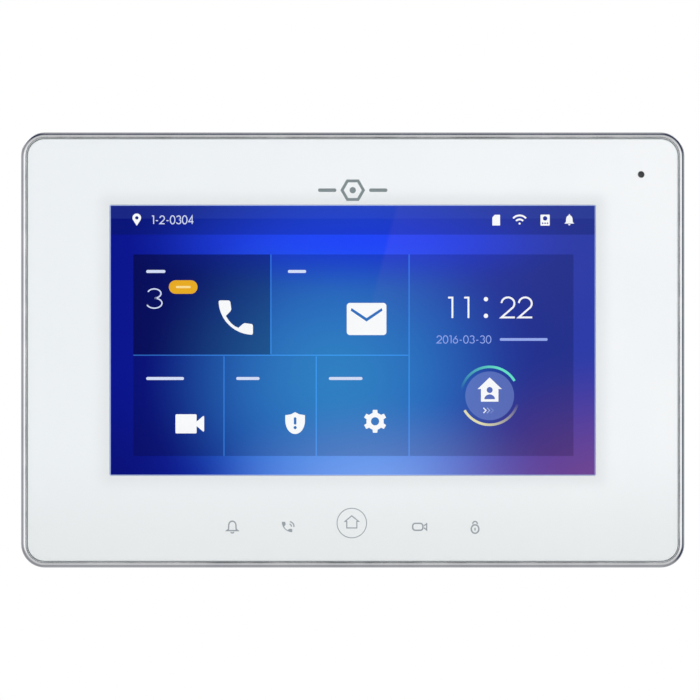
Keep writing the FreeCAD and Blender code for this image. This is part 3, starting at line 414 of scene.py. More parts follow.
def wallpaper(tree):
    """The picture's background: soft pools of light over deep blue, and a faint painted reflection,
    a sheen in the upper right.
    """
    place = object_place(tree, (1 / SCREEN_WIDTH, 0, 1 / SCREEN_HEIGHT), (SCREEN_X, 0, SCREEN_Z))
    across = put(tree, "SeparateXYZ", n0=place).outputs["X"]
    up = put(tree, "SeparateXYZ", n0=place).outputs["Z"]
    left, middle, right = srgb(5, 18, 142), srgb(38, 78, 222), srgb(44, 60, 168)
    colour = mixed(tree, ramp(tree, across, -0.48, 0.02), left, middle)
    colour = mixed(tree, ramp(tree, across, -0.02, 0.45), colour, right)
    for tint, x, z, wide, tall, strength in POOLS:
        away = put(tree, "VectorMath", {"operation": "SUBTRACT"}, n0=place, n1=(x, 0, z)).outputs[0]
        scaled = put(tree, "VectorMath", {"operation": "MULTIPLY"}, n0=away,
                     n1=(1 / wide, 0, 1 / tall)).outputs[0]
        length = put(tree, "VectorMath", {"operation": "LENGTH"}, n0=scaled).outputs["Value"]
        colour = mixed(tree, spread(tree, length, strength, 0.0, smooth=True), colour, tint)
    # Painted reflection: a sheen lifts the colour right of a leaning edge, fading downwards and to
    # the right.
    edge = math_node(tree, "SUBTRACT", across, math_node(tree, "MULTIPLY", up, PAINTED_SHEEN_LEAN))
    painted_sheen = spread(tree, edge, 0.0, 1.0, 0.016, 0.022)
    painted_sheen = math_node(tree, "MULTIPLY", painted_sheen, ramp(tree, up, -0.05, 0.3))
    painted_sheen = math_node(tree, "MULTIPLY", painted_sheen, spread(tree, across, 1.0, 0.15, 0.05, 0.5))
    return mixed(tree, painted_sheen, colour, mixed(tree, 1.0, colour, PAINTED_SHEEN_LIFT, "ADD"))


def shaded_wallpaper(shade, tint=None, amount=0.0):
    """The same background, dimmed as linear light, and mixed with a tint."""
    def build(tree):
        colour = mixed(tree, 1.0, wallpaper(tree), (shade, shade, shade, 1), "MULTIPLY")
        if tint is not None:
            colour = mixed(tree, amount, colour, tint)
        return colour
    return build


def plain_glow(colour):
    """A lit icon's colour, with the panel's faint unevenness."""
    def build(tree):
        cloud = noise(tree, object_place(tree), 15.0, 1.0)
        return mixed(tree, contrast(tree, cloud), tinted(colour, 0.97), colour)
    return build


TILE_SHADE = 0.66


def fading_arc(colour, centre_x, centre_z, start, end):
    """A colour that fades into the tile behind it from one bearing to another, in degrees."""
    def build(tree):
        place = object_place(tree, (1, 1, 1), (centre_x, 0, centre_z))
        axes = put(tree, "SeparateXYZ", n0=place)
        bearing = math_node(tree, "ARCTAN2", axes.outputs["Z"], axes.outputs["X"])
        if start > 180:
            bearing = math_node(tree, "ADD", bearing, 2 * math.pi)
        strength = spread(tree, bearing, 1.0, 0.0, math.radians(start), math.radians(end))
        return mixed(tree, strength, shaded_wallpaper(TILE_SHADE)(tree), colour)
    return build


# ---------------------------------------------------------------- flat shapes


def arc(x, z, radius, start, end, steps=16):
    """Points on a circle between two bearings in degrees."""
    points = []
    for index in range(steps + 1):
        angle = math.radians(start + (end - start) * index / steps)
        points.append((x + radius * math.cos(angle), z + radius * math.sin(angle)))
    return points


def ellipse_arc(x, z, radius_x, radius_z, start, end, steps=14):
    return [(x + (px - x) * radius_x, z + (pz - z) * radius_z)
            for px, pz in arc(x, z, 1.0, start, end, steps)]


def circle(x, z, radius, steps=40):
    return arc(x, z, radius, 0, 360 - 360 / steps, steps - 1)


def rounded(x0, x1, z0, z1, radius):
    """A rounded rectangle's outline."""
    left, right, low, high = x0 + radius, x1 - radius, z0 + radius, z1 - radius
    loop = []
    for x, z, start in ((right, high, 0), (left, high, 90), (left, low, 180), (right, low, 270)):
        loop += arc(x, z, radius, start, start + 90, 6)
    return loop


# A line's corner is cut short where its mitre would reach out beyond 1 / this.
SHARPEST_MITRE = 0.35


def side_of(points, offset, closed):
    """The polyline beside points, offset to its left."""
    count = len(points)
    shifted = []
    for index, point in enumerate(points):
        here = Vector(point)
        before = Vector(points[index - 1]) if closed or index > 0 else None
        after = Vector(points[(index + 1) % count]) if closed or index < count - 1 else None
        ways = []
        if before is not None:
            ways.append((here - before).normalized())
        if after is not None:
            ways.append((after - here).normalized())
        normals = [Vector((-way.y, way.x)) for way in ways]
        total = sum(normals, Vector((0, 0)))
        total.normalize()
        reach = offset / max(SHARPEST_MITRE, total.dot(normals[0]))
        shifted.append(tuple(here + total * reach))
    return shifted


def stroke(points, width, closed=False):
    """The outlines of a line of even width: one loop, or two where it is closed."""
    if closed:
        return [side_of(points, width / 2, True), side_of(points, -width / 2, True)]
    return [side_of(points, width / 2, False) + side_of(points, -width / 2, False)[::-1]]


def placed(loops, x, z, scale=1.0):
    """Loops moved and scaled."""
    return [[(x + px * scale, z + pz * scale) for px, pz in loop] for loop in loops]


SAME_POINT = 0.0001 * MM


def plate(name, loops, front, thickness, material, body=BODY):
    """Flat solids in the XZ plane from outlines in millimetres; a loop inside another is a hole.

    front, the y of their face towards the viewer, and thickness are in metres.
    """
    curve = bpy.data.curves.new(name, "CURVE")
    curve.dimensions = "2D"
    curve.fill_mode = "BOTH"
    curve.extrude = thickness / 2
    for loop in loops:
        spline = curve.splines.new("POLY")
        spline.points.add(len(loop) - 1)
        for point, (x, z) in zip(spline.points, loop):
            point.co = (x * MM, z * MM, 0, 1)
        spline.use_cyclic_u = True
    source = bpy.data.objects.new(name + "_outline", curve)
    bpy.context.scene.collection.objects.link(source)
    filled = source.evaluated_get(bpy.context.evaluated_depsgraph_get())
    mesh = bpy.data.meshes.new_from_object(filled)
    bpy.data.objects.remove(source)
    for vertex in mesh.vertices:
        x, z, height = vertex.co
        vertex.co = (x, front + thickness / 2 - height, z)
    work = bmesh.new()
    work.from_mesh(mesh)
    bmesh.ops.remove_doubles(work, verts=work.verts, dist=SAME_POINT)
    bmesh.ops.recalc_face_normals(work, faces=work.faces)
    work.to_mesh(mesh)
    work.free()
    mesh.name = name
    mesh.materials.clear()
    mesh.materials.append(material)
    piece = bpy.data.objects.new(name, mesh)
    bpy.context.scene.collection.objects.link(piece)
    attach(piece, body)
    return piece


# ---------------------------------------------------------------- digits drawn as strokes

# Each digit: its lines in a cell of height 1, whether they close, and its width.
DIGITS = {
    "0": ([ellipse_arc(0.32, 0.5, 0.32, 0.5, 0, 345, 23)], True, 0.64),
    "1": ([[(0.0, 0.97), (0.24, 0.97), (0.24, 0.0)]], False, 0.3),
    "2": ([ellipse_arc(0.33, 0.69, 0.31, 0.29, 175, -38) + [(0.02, 0.03), (0.66, 0.03)]],
          False, 0.66),
    "3": ([ellipse_arc(0.3, 0.75, 0.27, 0.23, 160, -88, 12),
           ellipse_arc(0.3, 0.27, 0.31, 0.25, 88, -160)], False, 0.62),
    "4": ([[(0.5, 0.0), (0.5, 0.98), (0.02, 0.27), (0.68, 0.27)]], False, 0.68),
    "6": ([[(0.46, 0.98), (0.1, 0.5)] + ellipse_arc(0.32, 0.31, 0.3, 0.3, 150, -195, 20)],
          False, 0.64),
    "-": ([[(0.04, 0.4), (0.34, 0.4)]], False, 0.38),
}
DIGIT_GAP = 0.2


def number(text, across, down, height, width, weight):
    """The outlines of digits that together span width, from their low left corner on the screen."""
    cursor, low = on_screen(across, down)
    natural = sum(DIGITS[letter][2] + DIGIT_GAP for letter in text) - DIGIT_GAP
    stretch = width / (natural * height)
    loops = []
    for letter in text:
        strokes, closed, advance = DIGITS[letter]
        for line in strokes:
            points = [(cursor + px * height * stretch, low + pz * height) for px, pz in line]
            loops += stroke(points, weight, closed)
        cursor += (advance + DIGIT_GAP) * height * stretch
    return loops


# ---------------------------------------------------------------- the picture on the screen

LAYER = 0.03 * MM
PICTURE_FRONT = cell_low.y - 0.06 * MM


def layer(index):
    """The front of the picture's nth layer, counted towards the viewer."""
    return PICTURE_FRONT - index * 1.5 * LAYER


def on_picture(name, loops, index, material):
    """Glowing shapes on the picture's nth layer."""
    plate(name, loops, layer(index), LAYER, material)


def on_screen(across, down):
    """Millimetres from the screen's top left corner, as the frame's x and z in millimetres."""
    return SCREEN_LEFT / MM + across, SCREEN_TOP / MM - down


def on_screen_at(loops, across, down, scale=1.0):
    """Loops, scaled, with their origin at a place on the screen."""
    x, z = on_screen(across, down)
    return placed(loops, x, z, scale)


def screen_box(left, right, top, bottom, radius=0.05):
    x0, z1 = on_screen(left, top)
    x1, z0 = on_screen(right, bottom)
    return rounded(x0, x1, z0, z1, radius)


def word_bar(left, right, middle, tall=0.95):
    """A plain bar that stands for a word."""
    return screen_box(left, right, middle - tall / 2, middle + tall / 2, tall / 2 - 0.01)


# Where the tiles and the lines between them are on the screen, in millimetres across and down.
TILE_LEFT, TILE_TOP, TILE_RIGHT, TILE_BOTTOM = 7.4, 15.7, 147.2, 79.7
ROW_SPLIT = 47.7
CALL_RIGHT = 51.1
VIEW_RIGHT, ALERT_RIGHT, LEFT_BLOCK_RIGHT = 36.2, 65.5, 95.0
LINE = 0.35
RIM = 0.2
STATUS_BOTTOM, STATUS_EDGE = 9.4, 4.3


def upright_line(across, top, bottom):
    return screen_box(across - LINE / 2, across + LINE / 2, top, bottom)


def draw_picture():
    """The background with its bright rim, the bar at the top, the tiles and their lines."""
    width, height = SCREEN_WIDTH / MM, SCREEN_HEIGHT / MM
    whole = screen_box(0, width, 0, height)
    paper = glow_material("picture", shaded_wallpaper(1.0))
    plate("screen_picture", [whole], PICTURE_FRONT, LAYER * 2, paper)

    rim = glow_material("screen_rim", plain_glow(srgb(186, 204, 250)))
    on_picture("screen_rim", [whole, screen_box(RIM, width - RIM, RIM, height - RIM)], 5, rim)

    bar = glow_material("status_bar", shaded_wallpaper(0.7, srgb(20, 60, 150), 0.05))
    on_picture("screen_status_bar", [screen_box(0, width, 0, STATUS_BOTTOM)], 1, bar)
    top = glow_material("status_edge", shaded_wallpaper(0.74, srgb(62, 88, 170), 0.16))
    on_picture("screen_status_edge", [screen_box(0, width, 0, STATUS_EDGE)], 2, top)

    tile = glow_material("tile", shaded_wallpaper(TILE_SHADE))
    tiles = screen_box(TILE_LEFT, TILE_RIGHT, TILE_TOP, TILE_BOTTOM)
    on_picture("screen_tiles", [tiles], 1, tile)
    call = glow_material("call_tile", shaded_wallpaper(0.37))
    call_tile = screen_box(TILE_LEFT, CALL_RIGHT, TILE_TOP, ROW_SPLIT)
    on_picture("screen_call_tile", [call_tile], 2, call)
    clock = glow_material("clock_tile", shaded_wallpaper(0.68))
    clock_tile = screen_box(LEFT_BLOCK_RIGHT, TILE_RIGHT, TILE_TOP, TILE_BOTTOM)
    on_picture("screen_clock_tile", [clock_tile], 2, clock)

    line = glow_material("separator", shaded_wallpaper(1.0, srgb(70, 160, 255), 0.35))
    splits = [
        upright_line(CALL_RIGHT, TILE_TOP, ROW_SPLIT - LINE),
        upright_line(VIEW_RIGHT, ROW_SPLIT + LINE, TILE_BOTTOM),
        upright_line(ALERT_RIGHT, ROW_SPLIT + LINE, TILE_BOTTOM),
        upright_line(LEFT_BLOCK_RIGHT, TILE_TOP, TILE_BOTTOM),
        screen_box(TILE_LEFT, LEFT_BLOCK_RIGHT - LINE, ROW_SPLIT - LINE / 2, ROW_SPLIT + LINE / 2),
    ]
    on_picture("screen_separators", splits, 3, line)


def phone_outline():
    """A handset lying on its back, in a unit square, up and right."""
    back = ellipse_arc(1.0, 1.0, 1.0, 1.0, 182, 268, 18)
    mouth = [(0.985, 0.01), (1.0, 0.05), (1.0, 0.27), (0.97, 0.31), (0.76, 0.34), (0.7, 0.31),
             (0.575, 0.2)]
    grip = [(0.47, 0.25), (0.36, 0.34), (0.28, 0.44), (0.21, 0.55)]
    ear = [(0.34, 0.68), (0.37, 0.74), (0.34, 0.96), (0.3, 1.0), (0.04, 1.0), (0.005, 0.98)]
    return [back + mouth + grip + ear]


def envelope_loops(left, right, top, bottom):
    """An envelope that fills a box on the screen, with its fold cut out."""
    x0, z1 = on_screen(left, top)
    x1, z0 = on_screen(right, bottom)
    fold = [(0.12, 0.84), (0.5, 0.53), (0.88, 0.84), (0.9, 0.76), (0.5, 0.42), (0.1, 0.76)]
    return [rounded(x0, x1, z0, z1, 1.0),
            [(x0 + px * (x1 - x0), z0 + pz * (z1 - z0)) for px, pz in fold]]


def gear_outline(teeth, root, tip, hole):
    """A gear wheel's outline and the hole in its middle."""
    # half a tooth's width at its root and at its tip, in degrees
    root_half, tip_half = 17, 11
    tooth = ((-root_half, root), (-tip_half, tip), (tip_half, tip), (root_half, root))
    loop = []
    for index in range(teeth):
        middle = 360 / teeth * index + 90
        for turn, radius in tooth:
            angle = math.radians(middle + turn)
            loop.append((radius * math.cos(angle), radius * math.sin(angle)))
        loop += arc(0, 0, root, middle + root_half, middle + 360 / teeth - root_half, 4)[1:-1]
    return [loop, circle(0, 0, hole, 24)]


def shield_loops():
    edge = ellipse_arc(0.0, 0.1, 0.46, 0.62, 180, 270, 8)
    edge += ellipse_arc(0.0, 0.1, 0.46, 0.62, 270, 360, 8)[1:]
    outline = edge + [(0.46, 0.36), (0.2, 0.4), (0.0, 0.5), (-0.2, 0.4), (-0.46, 0.36)]
    return [outline, rounded(-0.06, 0.06, -0.08, 0.26, 0.05), circle(0.0, -0.22, 0.075, 16)]


def bell_loops():
    dome = ellipse_arc(0.0, 0.1, 0.3, 0.36, 0, 180, 12)
    skirt = [(-0.32, -0.18), (-0.46, -0.32), (0.46, -0.32), (0.32, -0.18)]
    clapper = arc(0.0, -0.38, 0.11, 180, 360, 8)
    return [dome + skirt, clapper, circle(0.0, 0.5, 0.06, 12)]


def pin_loops():
    edge = arc(0.0, 0.14, 0.36, -28, 208, 20)
    return [edge + [(0.0, -0.52)], circle(0.0, 0.14, 0.14, 16)]


def wireless_loops():
    loops = [circle(0.0, -0.36, 0.11, 14)]
    for radius in (0.5, 0.92):
        loops += stroke(arc(0.0, -0.42, radius, 42, 138, 12), 0.19)
    return loops


def card_loops():
    return [[(-0.34, -0.5), (0.38, -0.5), (0.38, 0.5), (-0.12, 0.5), (-0.34, 0.24)]]


def station_loops():
    loops = [rounded(-0.42, 0.42, -0.5, 0.5, 0.06), circle(0.0, 0.16, 0.2, 18)]
    for x in (-0.22, 0.0, 0.22):
        loops.append(circle(x, -0.28, 0.07, 10))
    return loops


def camera_loops():
    upper = arc(0.2, 0.29, 0.04, 0, 90, 4) + arc(-0.45, 0.29, 0.04, 90, 180, 4)
    lower = arc(-0.45, -0.29, 0.04, 180, 270, 4) + arc(0.2, -0.29, 0.04, 270, 360, 4)
    lens = [(0.24, -0.08), (0.47, -0.27), (0.5, -0.25), (0.5, 0.25), (0.47, 0.27), (0.24, 0.08)]
    return [upper + lower + lens]


def house_loops():
    """A house with a plain disc and half disc in it."""
    outline = [(0.0, 0.5), (0.5, 0.02), (0.36, 0.02), (0.36, -0.5), (-0.36, -0.5), (-0.36, 0.02),
               (-0.5, 0.02)]
    return [outline, circle(0.0, -0.02, 0.125, 20), ellipse_arc(0.0, -0.4, 0.22, 0.2, 0, 180, 12)]


def draw_icons():
    """The white symbols, the bars and numbers, the clock, the date and the badge."""
    white = glow_material("icon_white", plain_glow(srgb(252, 253, 255)))
    ink = on_screen_at(phone_outline(), 34.5, 41.2, 10.9)
    ink += envelope_loops(75.2, 87.8, 31.1, 41.3)
    ink += on_screen_at(gear_outline(6, 2.75, 3.7, 1.3), 84.2, 68.7)
    ink += on_screen_at(camera_loops(), 25.3, 69.5, 9.2)
    ink += on_screen_at(shield_loops(), 58.8, 69.2, 6.8)
    ink += on_screen_at(pin_loops(), 8.5, 4.6, 3.8)
    ink += on_screen_at(card_loops(), 122.6, 4.8, 3.4)
    ink += on_screen_at(wireless_loops(), 130.1, 4.8, 3.0)
    ink += on_screen_at(station_loops(), 138.2, 4.8, 3.5)
    ink += on_screen_at(bell_loops(), 145.9, 4.8, 3.4)
    on_picture("screen_icons", ink, 4, white)

    words = glow_material("words", plain_glow(srgb(214, 224, 250)))
    bars = [
        word_bar(11.5, 17.6, 21.1), word_bar(56.5, 62.3, 21.1), word_bar(11.5, 23.5, 55.1),
        word_bar(40.1, 47.5, 55.1), word_bar(69.5, 80.2, 55.1),
    ]
    bars += number("1-2-0304", 13.3, 6.0, 2.6, 13.2, 0.32)
    bars += number("3", 11.7, 32.9, 6.4, 4.9, 0.4)
    on_picture("screen_words", bars, 4, words)

    clock = []
    for digit, across, width in (("1", 107.4, 1.7), ("1", 112.5, 1.7),
                                 ("2", 124.2, 4.4), ("2", 129.7, 4.4)):
        clock += number(digit, across, 35.9, 6.7, width, 0.58)
    for down in (29.9, 35.2):
        x, z = on_screen(119.4, down)
        clock.append(circle(x, z, 0.7, 20))
    on_picture("screen_clock", clock, 4, white)

    pale = glow_material("date_blue", plain_glow(srgb(152, 172, 240)))
    date = number("2016-03-30", 103.8, 43.9, 2.4, 17.2, 0.27)
    date.append(word_bar(123.8, 139.0, 42.7, 0.85))
    on_picture("screen_date", date, 4, pale)

    orange = glow_material("badge_orange", plain_glow(srgb(236, 174, 36)))
    on_picture("screen_badge", [screen_box(18.7, 27.8, 23.9, 28.2, 2.14)], 4, orange)
    cream = glow_material("badge_cream", plain_glow(srgb(255, 226, 150)))
    on_picture("screen_badge_mark", [word_bar(20.9, 25.6, 26.05, 0.7)], 5, cream)


WIDGET_ACROSS = 120.6
WIDGET_DOWN = 60.6
DISC_RADIUS = 7.75
ARC_RADIUS, ARC_WEIGHT = 9.2, 0.8


def draw_widget():
    """The round arming control: a disc, two fading arcs, a house and three arrows."""
    x, z = on_screen(WIDGET_ACROSS, WIDGET_DOWN)
    disc = glow_material("widget_disc", shaded_wallpaper(0.7, srgb(112, 134, 206), 0.55))
    on_picture("widget_disc", [circle(x, z, DISC_RADIUS, 64)], 3, disc)
    green = glow_material("widget_green", fading_arc(srgb(104, 226, 200), x * MM, z * MM, 70, 168))
    upper = stroke(arc(x, z, ARC_RADIUS, 31, 166, 40), ARC_WEIGHT)
    on_picture("widget_green_arc", upper, 4, green)
    cream = glow_material("widget_cream", fading_arc(srgb(228, 222, 178), x * MM, z * MM, 250, 345))
    lower = stroke(arc(x, z, ARC_RADIUS, 210, 343, 40), ARC_WEIGHT)
    on_picture("widget_cream_arc", lower, 4, cream)
    house = on_screen_at(house_loops(), WIDGET_ACROSS, 58.6, 7.7)
    on_picture("widget_house", house, 4, bpy.data.materials["icon_white"])
    fades = (srgb(240, 244, 255), srgb(170, 182, 228), srgb(128, 146, 210))
    for index, colour in enumerate(fades):
        name = "widget_arrow_" + str(index)
        arrow_x, arrow_z = on_screen(118.6 + 1.15 * index, 65.25)
        line = [(arrow_x, arrow_z + 0.85), (arrow_x + 0.85, arrow_z), (arrow_x, arrow_z - 0.85)]
        shade = glow_material(name, plain_glow(colour))
        on_picture(name, stroke(line, 0.34 - 0.06 * index), 4, shade)


# ---------------------------------------------------------------- symbols printed behind the glass

# The skin of ink lies inside the glass, and the symbols just before it.
INK_FRONT = glass_low.y + 0.6 * MM
INK_DEPTH = glass_high.y - INK_FRONT - 0.005 * MM
SYMBOL_FRONT = INK_FRONT - 0.02 * MM
SYMBOL_DEPTH = 0.015 * MM
# Millimetres: the ink's corners and how far it reaches past the printed solid, then the hole.
INK_CORNER = 5.2
INK_REACH = 0.12
MICROPHONE_X, MICROPHONE_Z, MICROPHONE_RADIUS = 91.5, 55.7, 1.1
# Millimetres: the height of the row of symbols, and the middle key's ring and house.
SYMBOL_ROW = -56.1
HOME_X, HOME_RING_Z, HOME_Z = -0.3, -54.9, -54.7


def printed_ink(name, colour):
    material, tree = new_material(name)
    dots = noise(tree, object_place(tree), 0.12, 2.0)
    tone = mixed(tree, contrast(tree, dots), tinted(colour, 0.94), tinted(colour, 1.05))
    finish_solid(tree, Base_Color=tone, Roughness=spread(tree, dots, 0.45, 0.6),
                 Specular_IOR_Level=0.1)
    return material


def key_symbols():
    """Alarm bell, answer, home, camera and lock, each over its touch key."""
    loops = placed(bell_outline(), -38.2, SYMBOL_ROW)
    loops += placed(answer_symbol(), -20.5, SYMBOL_ROW)
    loops += [circle(HOME_X, HOME_RING_Z, radius, 72) for radius in (4.82, 4.55)]
    loops += placed(home_symbol(), HOME_X, HOME_Z)
    loops += placed(camera_symbol(), 21.2, SYMBOL_ROW)
    loops += placed(lock_symbol(), 38.8, SYMBOL_ROW)
    return loops


def bell_outline():
    weight = 0.42
    line = ellipse_arc(0.0, 0.45, 1.15, 1.35, 0, 180)
    line += [(-1.2, -0.75), (-1.75, -1.2), (1.75, -1.2), (1.2, -0.75)]
    return stroke(line, weight, True) + stroke(arc(0.0, -1.45, 0.5, 200, 340, 8), weight)


def answer_symbol():
    loops = placed(phone_outline(), -2.0, -1.7, 3.3)
    for radius in (0.7, 1.5):
        loops += stroke(arc(0.35, 0.15, radius, -8, 82, 8), 0.38)
    return loops


def home_symbol():
    line = [(0.0, 2.1), (2.15, 0.35), (1.6, 0.35), (1.6, -1.75), (-1.6, -1.75), (-1.6, 0.35),
            (-2.15, 0.35)]
    return stroke(line, 0.34, True)


def camera_symbol():
    body = rounded(-2.2, 1.05, -1.1, 1.1, 0.85)
    tail = [(1.4, -0.3), (2.25, -1.0), (2.25, 1.0), (1.4, 0.3)]
    return stroke(body, 0.44, True) + stroke(tail, 0.36)


def lock_symbol():
    body = ellipse_arc(0.0, -0.7, 1.2, 1.35, 0, 345, 23)
    shackle = arc(0.0, 1.0, 0.72, -10, 190, 10)
    keyhole = rounded(-0.2, 0.2, -1.2, -0.25, 0.18)
    return stroke(body, 0.46, True) + stroke(shackle, 0.42) + [keyhole]


def neutral_mark():
    """A plain geometric mark: a bold hexagon ring and a dot between two short bars."""
    middle = 50.7
    corners = circle(0.0, 0.0, 3.4, 6)
    loops = placed(stroke(corners, 0.9, True), 0.0, middle)
    loops.append(circle(0.0, middle, 1.0, 24))
    for left, right in ((-11.0, -5.2), (5.2, 11.0)):
        loops.append(rounded(left, right, middle - 0.55, middle + 0.55, 0.5))
    return loops


def ink_face():
    """The outlines of the white ink: its edge, the screen window and the microphone hole."""
    left, right = print_low.x / MM - INK_REACH, print_high.x / MM + INK_REACH
    low, high = print_low.z / MM - INK_REACH, print_high.z / MM + INK_REACH
    edge = rounded(left, right, low, high, INK_CORNER)
    half_x = SCREEN_WIDTH / MM / 2 + 0.05
    half_z = SCREEN_HEIGHT / MM / 2 + 0.05
    x, z = SCREEN_X / MM, SCREEN_Z / MM
    window = rounded(x - half_x, x + half_x, z - half_z, z + half_z, 0.4)
    return [edge, window, circle(MICROPHONE_X, MICROPHONE_Z, MICROPHONE_RADIUS)]


def draw_prints():
    white = white_ink("ink_face_white")
    plate("ink_face", ink_face(), INK_FRONT, INK_DEPTH, white)
    grey = printed_ink("symbol_grey", srgb(152, 160, 166))
    plate("key_symbols", key_symbols(), SYMBOL_FRONT, SYMBOL_DEPTH, grey)
    dark = printed_ink("mark_grey", srgb(128, 140, 143))
    plate("front_mark", neutral_mark(), SYMBOL_FRONT, SYMBOL_DEPTH, dark)


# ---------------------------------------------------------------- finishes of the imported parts


# Moulded plastics and cast parts: slot, colour and roughness.
MOULDED = (
    ("white_abs", (236, 236, 234), 0.5), ("white_shell", (236, 238, 240), 0.48),
    ("black_nylon", (30, 30, 32), 0.5), ("green_nylon", (34, 142, 86), 0.45),
    ("cream_nylon", (232, 226, 206), 0.5), ("grey_button", (150, 152, 155), 0.4),
    ("card_black", (28, 28, 30), 0.4), ("chip_epoxy", (36, 36, 39), 0.5),
    ("ferrite", (62, 62, 66), 0.6), ("brown_laminate", (150, 108, 62), 0.6),
    ("diffuser_film", (240, 240, 238), 0.6), ("clear_acrylic", (222, 228, 230), 0.15),
)
SHELL_GRAIN, MOULDED_GRAIN = 0.32, 0.18
# Foams, rubbers and leads: slot, colour and the size of their pores in millimetres.
SOFT = (
    ("foam_tape", (58, 58, 60), 0.5), ("black_foam", (66, 67, 67), 0.35),
    ("black_rubber", (62, 62, 64), 0.15), ("grey_silicone", (176, 186, 196), 0.3),
    ("grey_lead", (92, 92, 95), 0.12),
)
# Metals: slot, colour, roughness and the axis along which their fine lines run.
METALS = (
    ("pressed_steel", (200, 202, 205), 0.32, "x"), ("zinc_screw", (208, 209, 212), 0.3, "y"),
    ("tinned_can", (214, 214, 210), 0.28, "x"), ("tinned_pin", (218, 218, 214), 0.25, "z"),
    ("gold_contact", (226, 186, 98), 0.22, "z"), ("capacitor_can", (206, 208, 210), 0.3, "y"),
    ("cell_steel", (214, 214, 214), 0.22, "x"), ("microphone_can", (120, 121, 122), 0.45, "y"),
    ("black_aluminium", (52, 52, 56), 0.42, "z"), ("black_steel", (44, 44, 48), 0.45, "x"),
    ("magnet_ferrite", (130, 131, 135), 0.4, "x"), ("black_screw", (58, 58, 62), 0.38, "y"),
)


def board(slot, mask, trace):
    return circuit_board(slot + "_finish", srgb(*mask), srgb(*trace))


def make_finishes():
    """One material for each of the record's slots."""
    pane, sensor = (0.99, 0.992, 0.991, 1), (0.99, 0.99, 0.99, 1)
    made = {
        "zinc_steel": zinc_plate("zinc_steel_finish"),
        "silver_trim": polished_trim("silver_trim_finish"),
        "cover_glass": clear_glass("cover_glass_finish", pane, 1.5, 0.02),
        "sensor_glass": clear_glass("sensor_glass_finish", sensor, 1.08, 0.01),
        "white_print": white_ink("white_print_finish"),
        "screen": surface("screen_finish", srgb(6, 8, 14), 0.18, grain=0.2, depth=0.002,
                          blotch=0.1, coat=0.4),
        "amber_film": flat_cable("amber_film_finish"),
        "green_laminate": board("green_laminate", (16, 82, 48), (30, 112, 66)),
        "black_laminate": board("black_laminate", (20, 22, 24), (40, 44, 46)),
        "white_laminate": board("white_laminate", (226, 226, 222), (206, 206, 200)),
        "cone_paper": pressed_paper("cone_paper_finish"),
        "copper_coil": wound_copper("copper_coil_finish"),
    }
    for slot, colour, roughness in MOULDED:
        grain = SHELL_GRAIN if slot == "white_shell" else MOULDED_GRAIN
        made[slot] = surface(slot + "_finish", srgb(*colour), roughness, grain=grain, depth=0.03,
                             strength=0.35, blotch=0.012)
    for slot, colour, pore in SOFT:
        made[slot] = surface(slot + "_finish", srgb(*colour), 0.75, grain=pore, depth=0.05,
                             strength=0.5, blotch=0.06, blotch_size=5.0, pores=True, specular=0.3)
    for slot, colour, roughness, along in METALS:
        made[slot] = brushed_metal(slot + "_finish", srgb(*colour), roughness, along)
    return made


def dress_parts(finishes):
    slots = {entry["node"]: entry["material_slot"] for entry in frame["record"]["subparts"]}
    for node, part in frame["nodes"].items():
        finish = finishes[slots[node]]
        if not part.material_slots:
            part.data.materials.append(finish)
        for material_slot in part.material_slots:
            material_slot.material = finish


# ---------------------------------------------------------------- the loudspeaker's rubber roll

ROLL_SECTORS = 16
ROLL_STEPS = 5
ROLL_PROFILE = 8
ROLL_RISE = 0.2 * MM


def roll_section(inner, outer, front, back):
    """The roll's closed section as (radius, y): two arched lines, one behind the other."""
    line = []
    for index in range(ROLL_PROFILE + 1):
        share = index / ROLL_PROFILE
        line.append((inner + (outer - inner) * share, ROLL_RISE * math.sin(math.pi * share)))
    forward = [(radius, front + rise) for radius, rise in line]
    return forward + [(radius, back + rise) for radius, rise in line[::-1]]


def sector_mesh(name, section, centre, start, end):
    """A solid from a section of (radius, y) points swept about centre's y axis, in radians."""
    points = []
    for step in range(ROLL_STEPS + 1):
        angle = start + (end - start) * step / ROLL_STEPS
        for radius, y in section:
            x, z = radius * math.cos(angle), radius * math.sin(angle)
            points.append((centre.x + x, y, centre.z + z))
    count = len(section)
    faces = [tuple(range(count)), tuple(range(ROLL_STEPS * count, (ROLL_STEPS + 1) * count))]
    for step in range(ROLL_STEPS):
        for index in range(count):
            after = (index + 1) % count
            base = step * count
            faces.append((base + index, base + after, base + count + after, base + count + index))
    mesh = bpy.data.meshes.new(name)
    mesh.from_pydata(points, [], faces)
    work = bmesh.new()
    work.from_mesh(mesh)
    bmesh.ops.recalc_face_normals(work, faces=work.faces)
    work.to_mesh(mesh)
    work.free()
    return mesh


def draw_roll(rubber):
    """The roll between basket and cone, in sectors with an arched section swept round its middle.
    """
    low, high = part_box("speaker_surround")
    centre = (low + high) / 2
    inner = (cone_high.x - cone_low.x) / 2
    outer = (high.x - low.x) / 2
    section = roll_section(inner, outer, low.y, high.y)
    turn = 2 * math.pi / ROLL_SECTORS
    for sector in range(ROLL_SECTORS):
        name = "speaker_roll_%02d" % sector
        mesh = sector_mesh(name, section, centre, turn * sector, turn * (sector + 1))
        mesh.materials.append(rubber)
        piece = bpy.data.objects.new(name, mesh)
        bpy.context.scene.collection.objects.link(piece)
        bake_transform(piece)
        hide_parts("speaker_surround")


# ---------------------------------------------------------------- floor, light and camera


# Metres, and the size of the floor's clouds in millimetres.
FLOOR_DROP = 0.22
FLOOR_RADIUS = 1.6
FLOOR_CLOUD = 1.0 / 3.0 / MM
WORLD_LIGHT = 0.67
# What mirrors see: white level with the part, white above and below it, and the sides and back.
WORLD_AHEAD = 1.3
WORLD_UPRIGHT = 0.72
WORLD_LEFT = (0.36, 0.36, 0.38, 1.0)
WORLD_RIGHT = (0.04, 0.052, 0.1, 1.0)
WORLD_SIDE_ON = (0.5, 0.5, 0.52, 1.0)
WORLD_BEHIND = (0.5, 0.5, 0.52, 1.0)


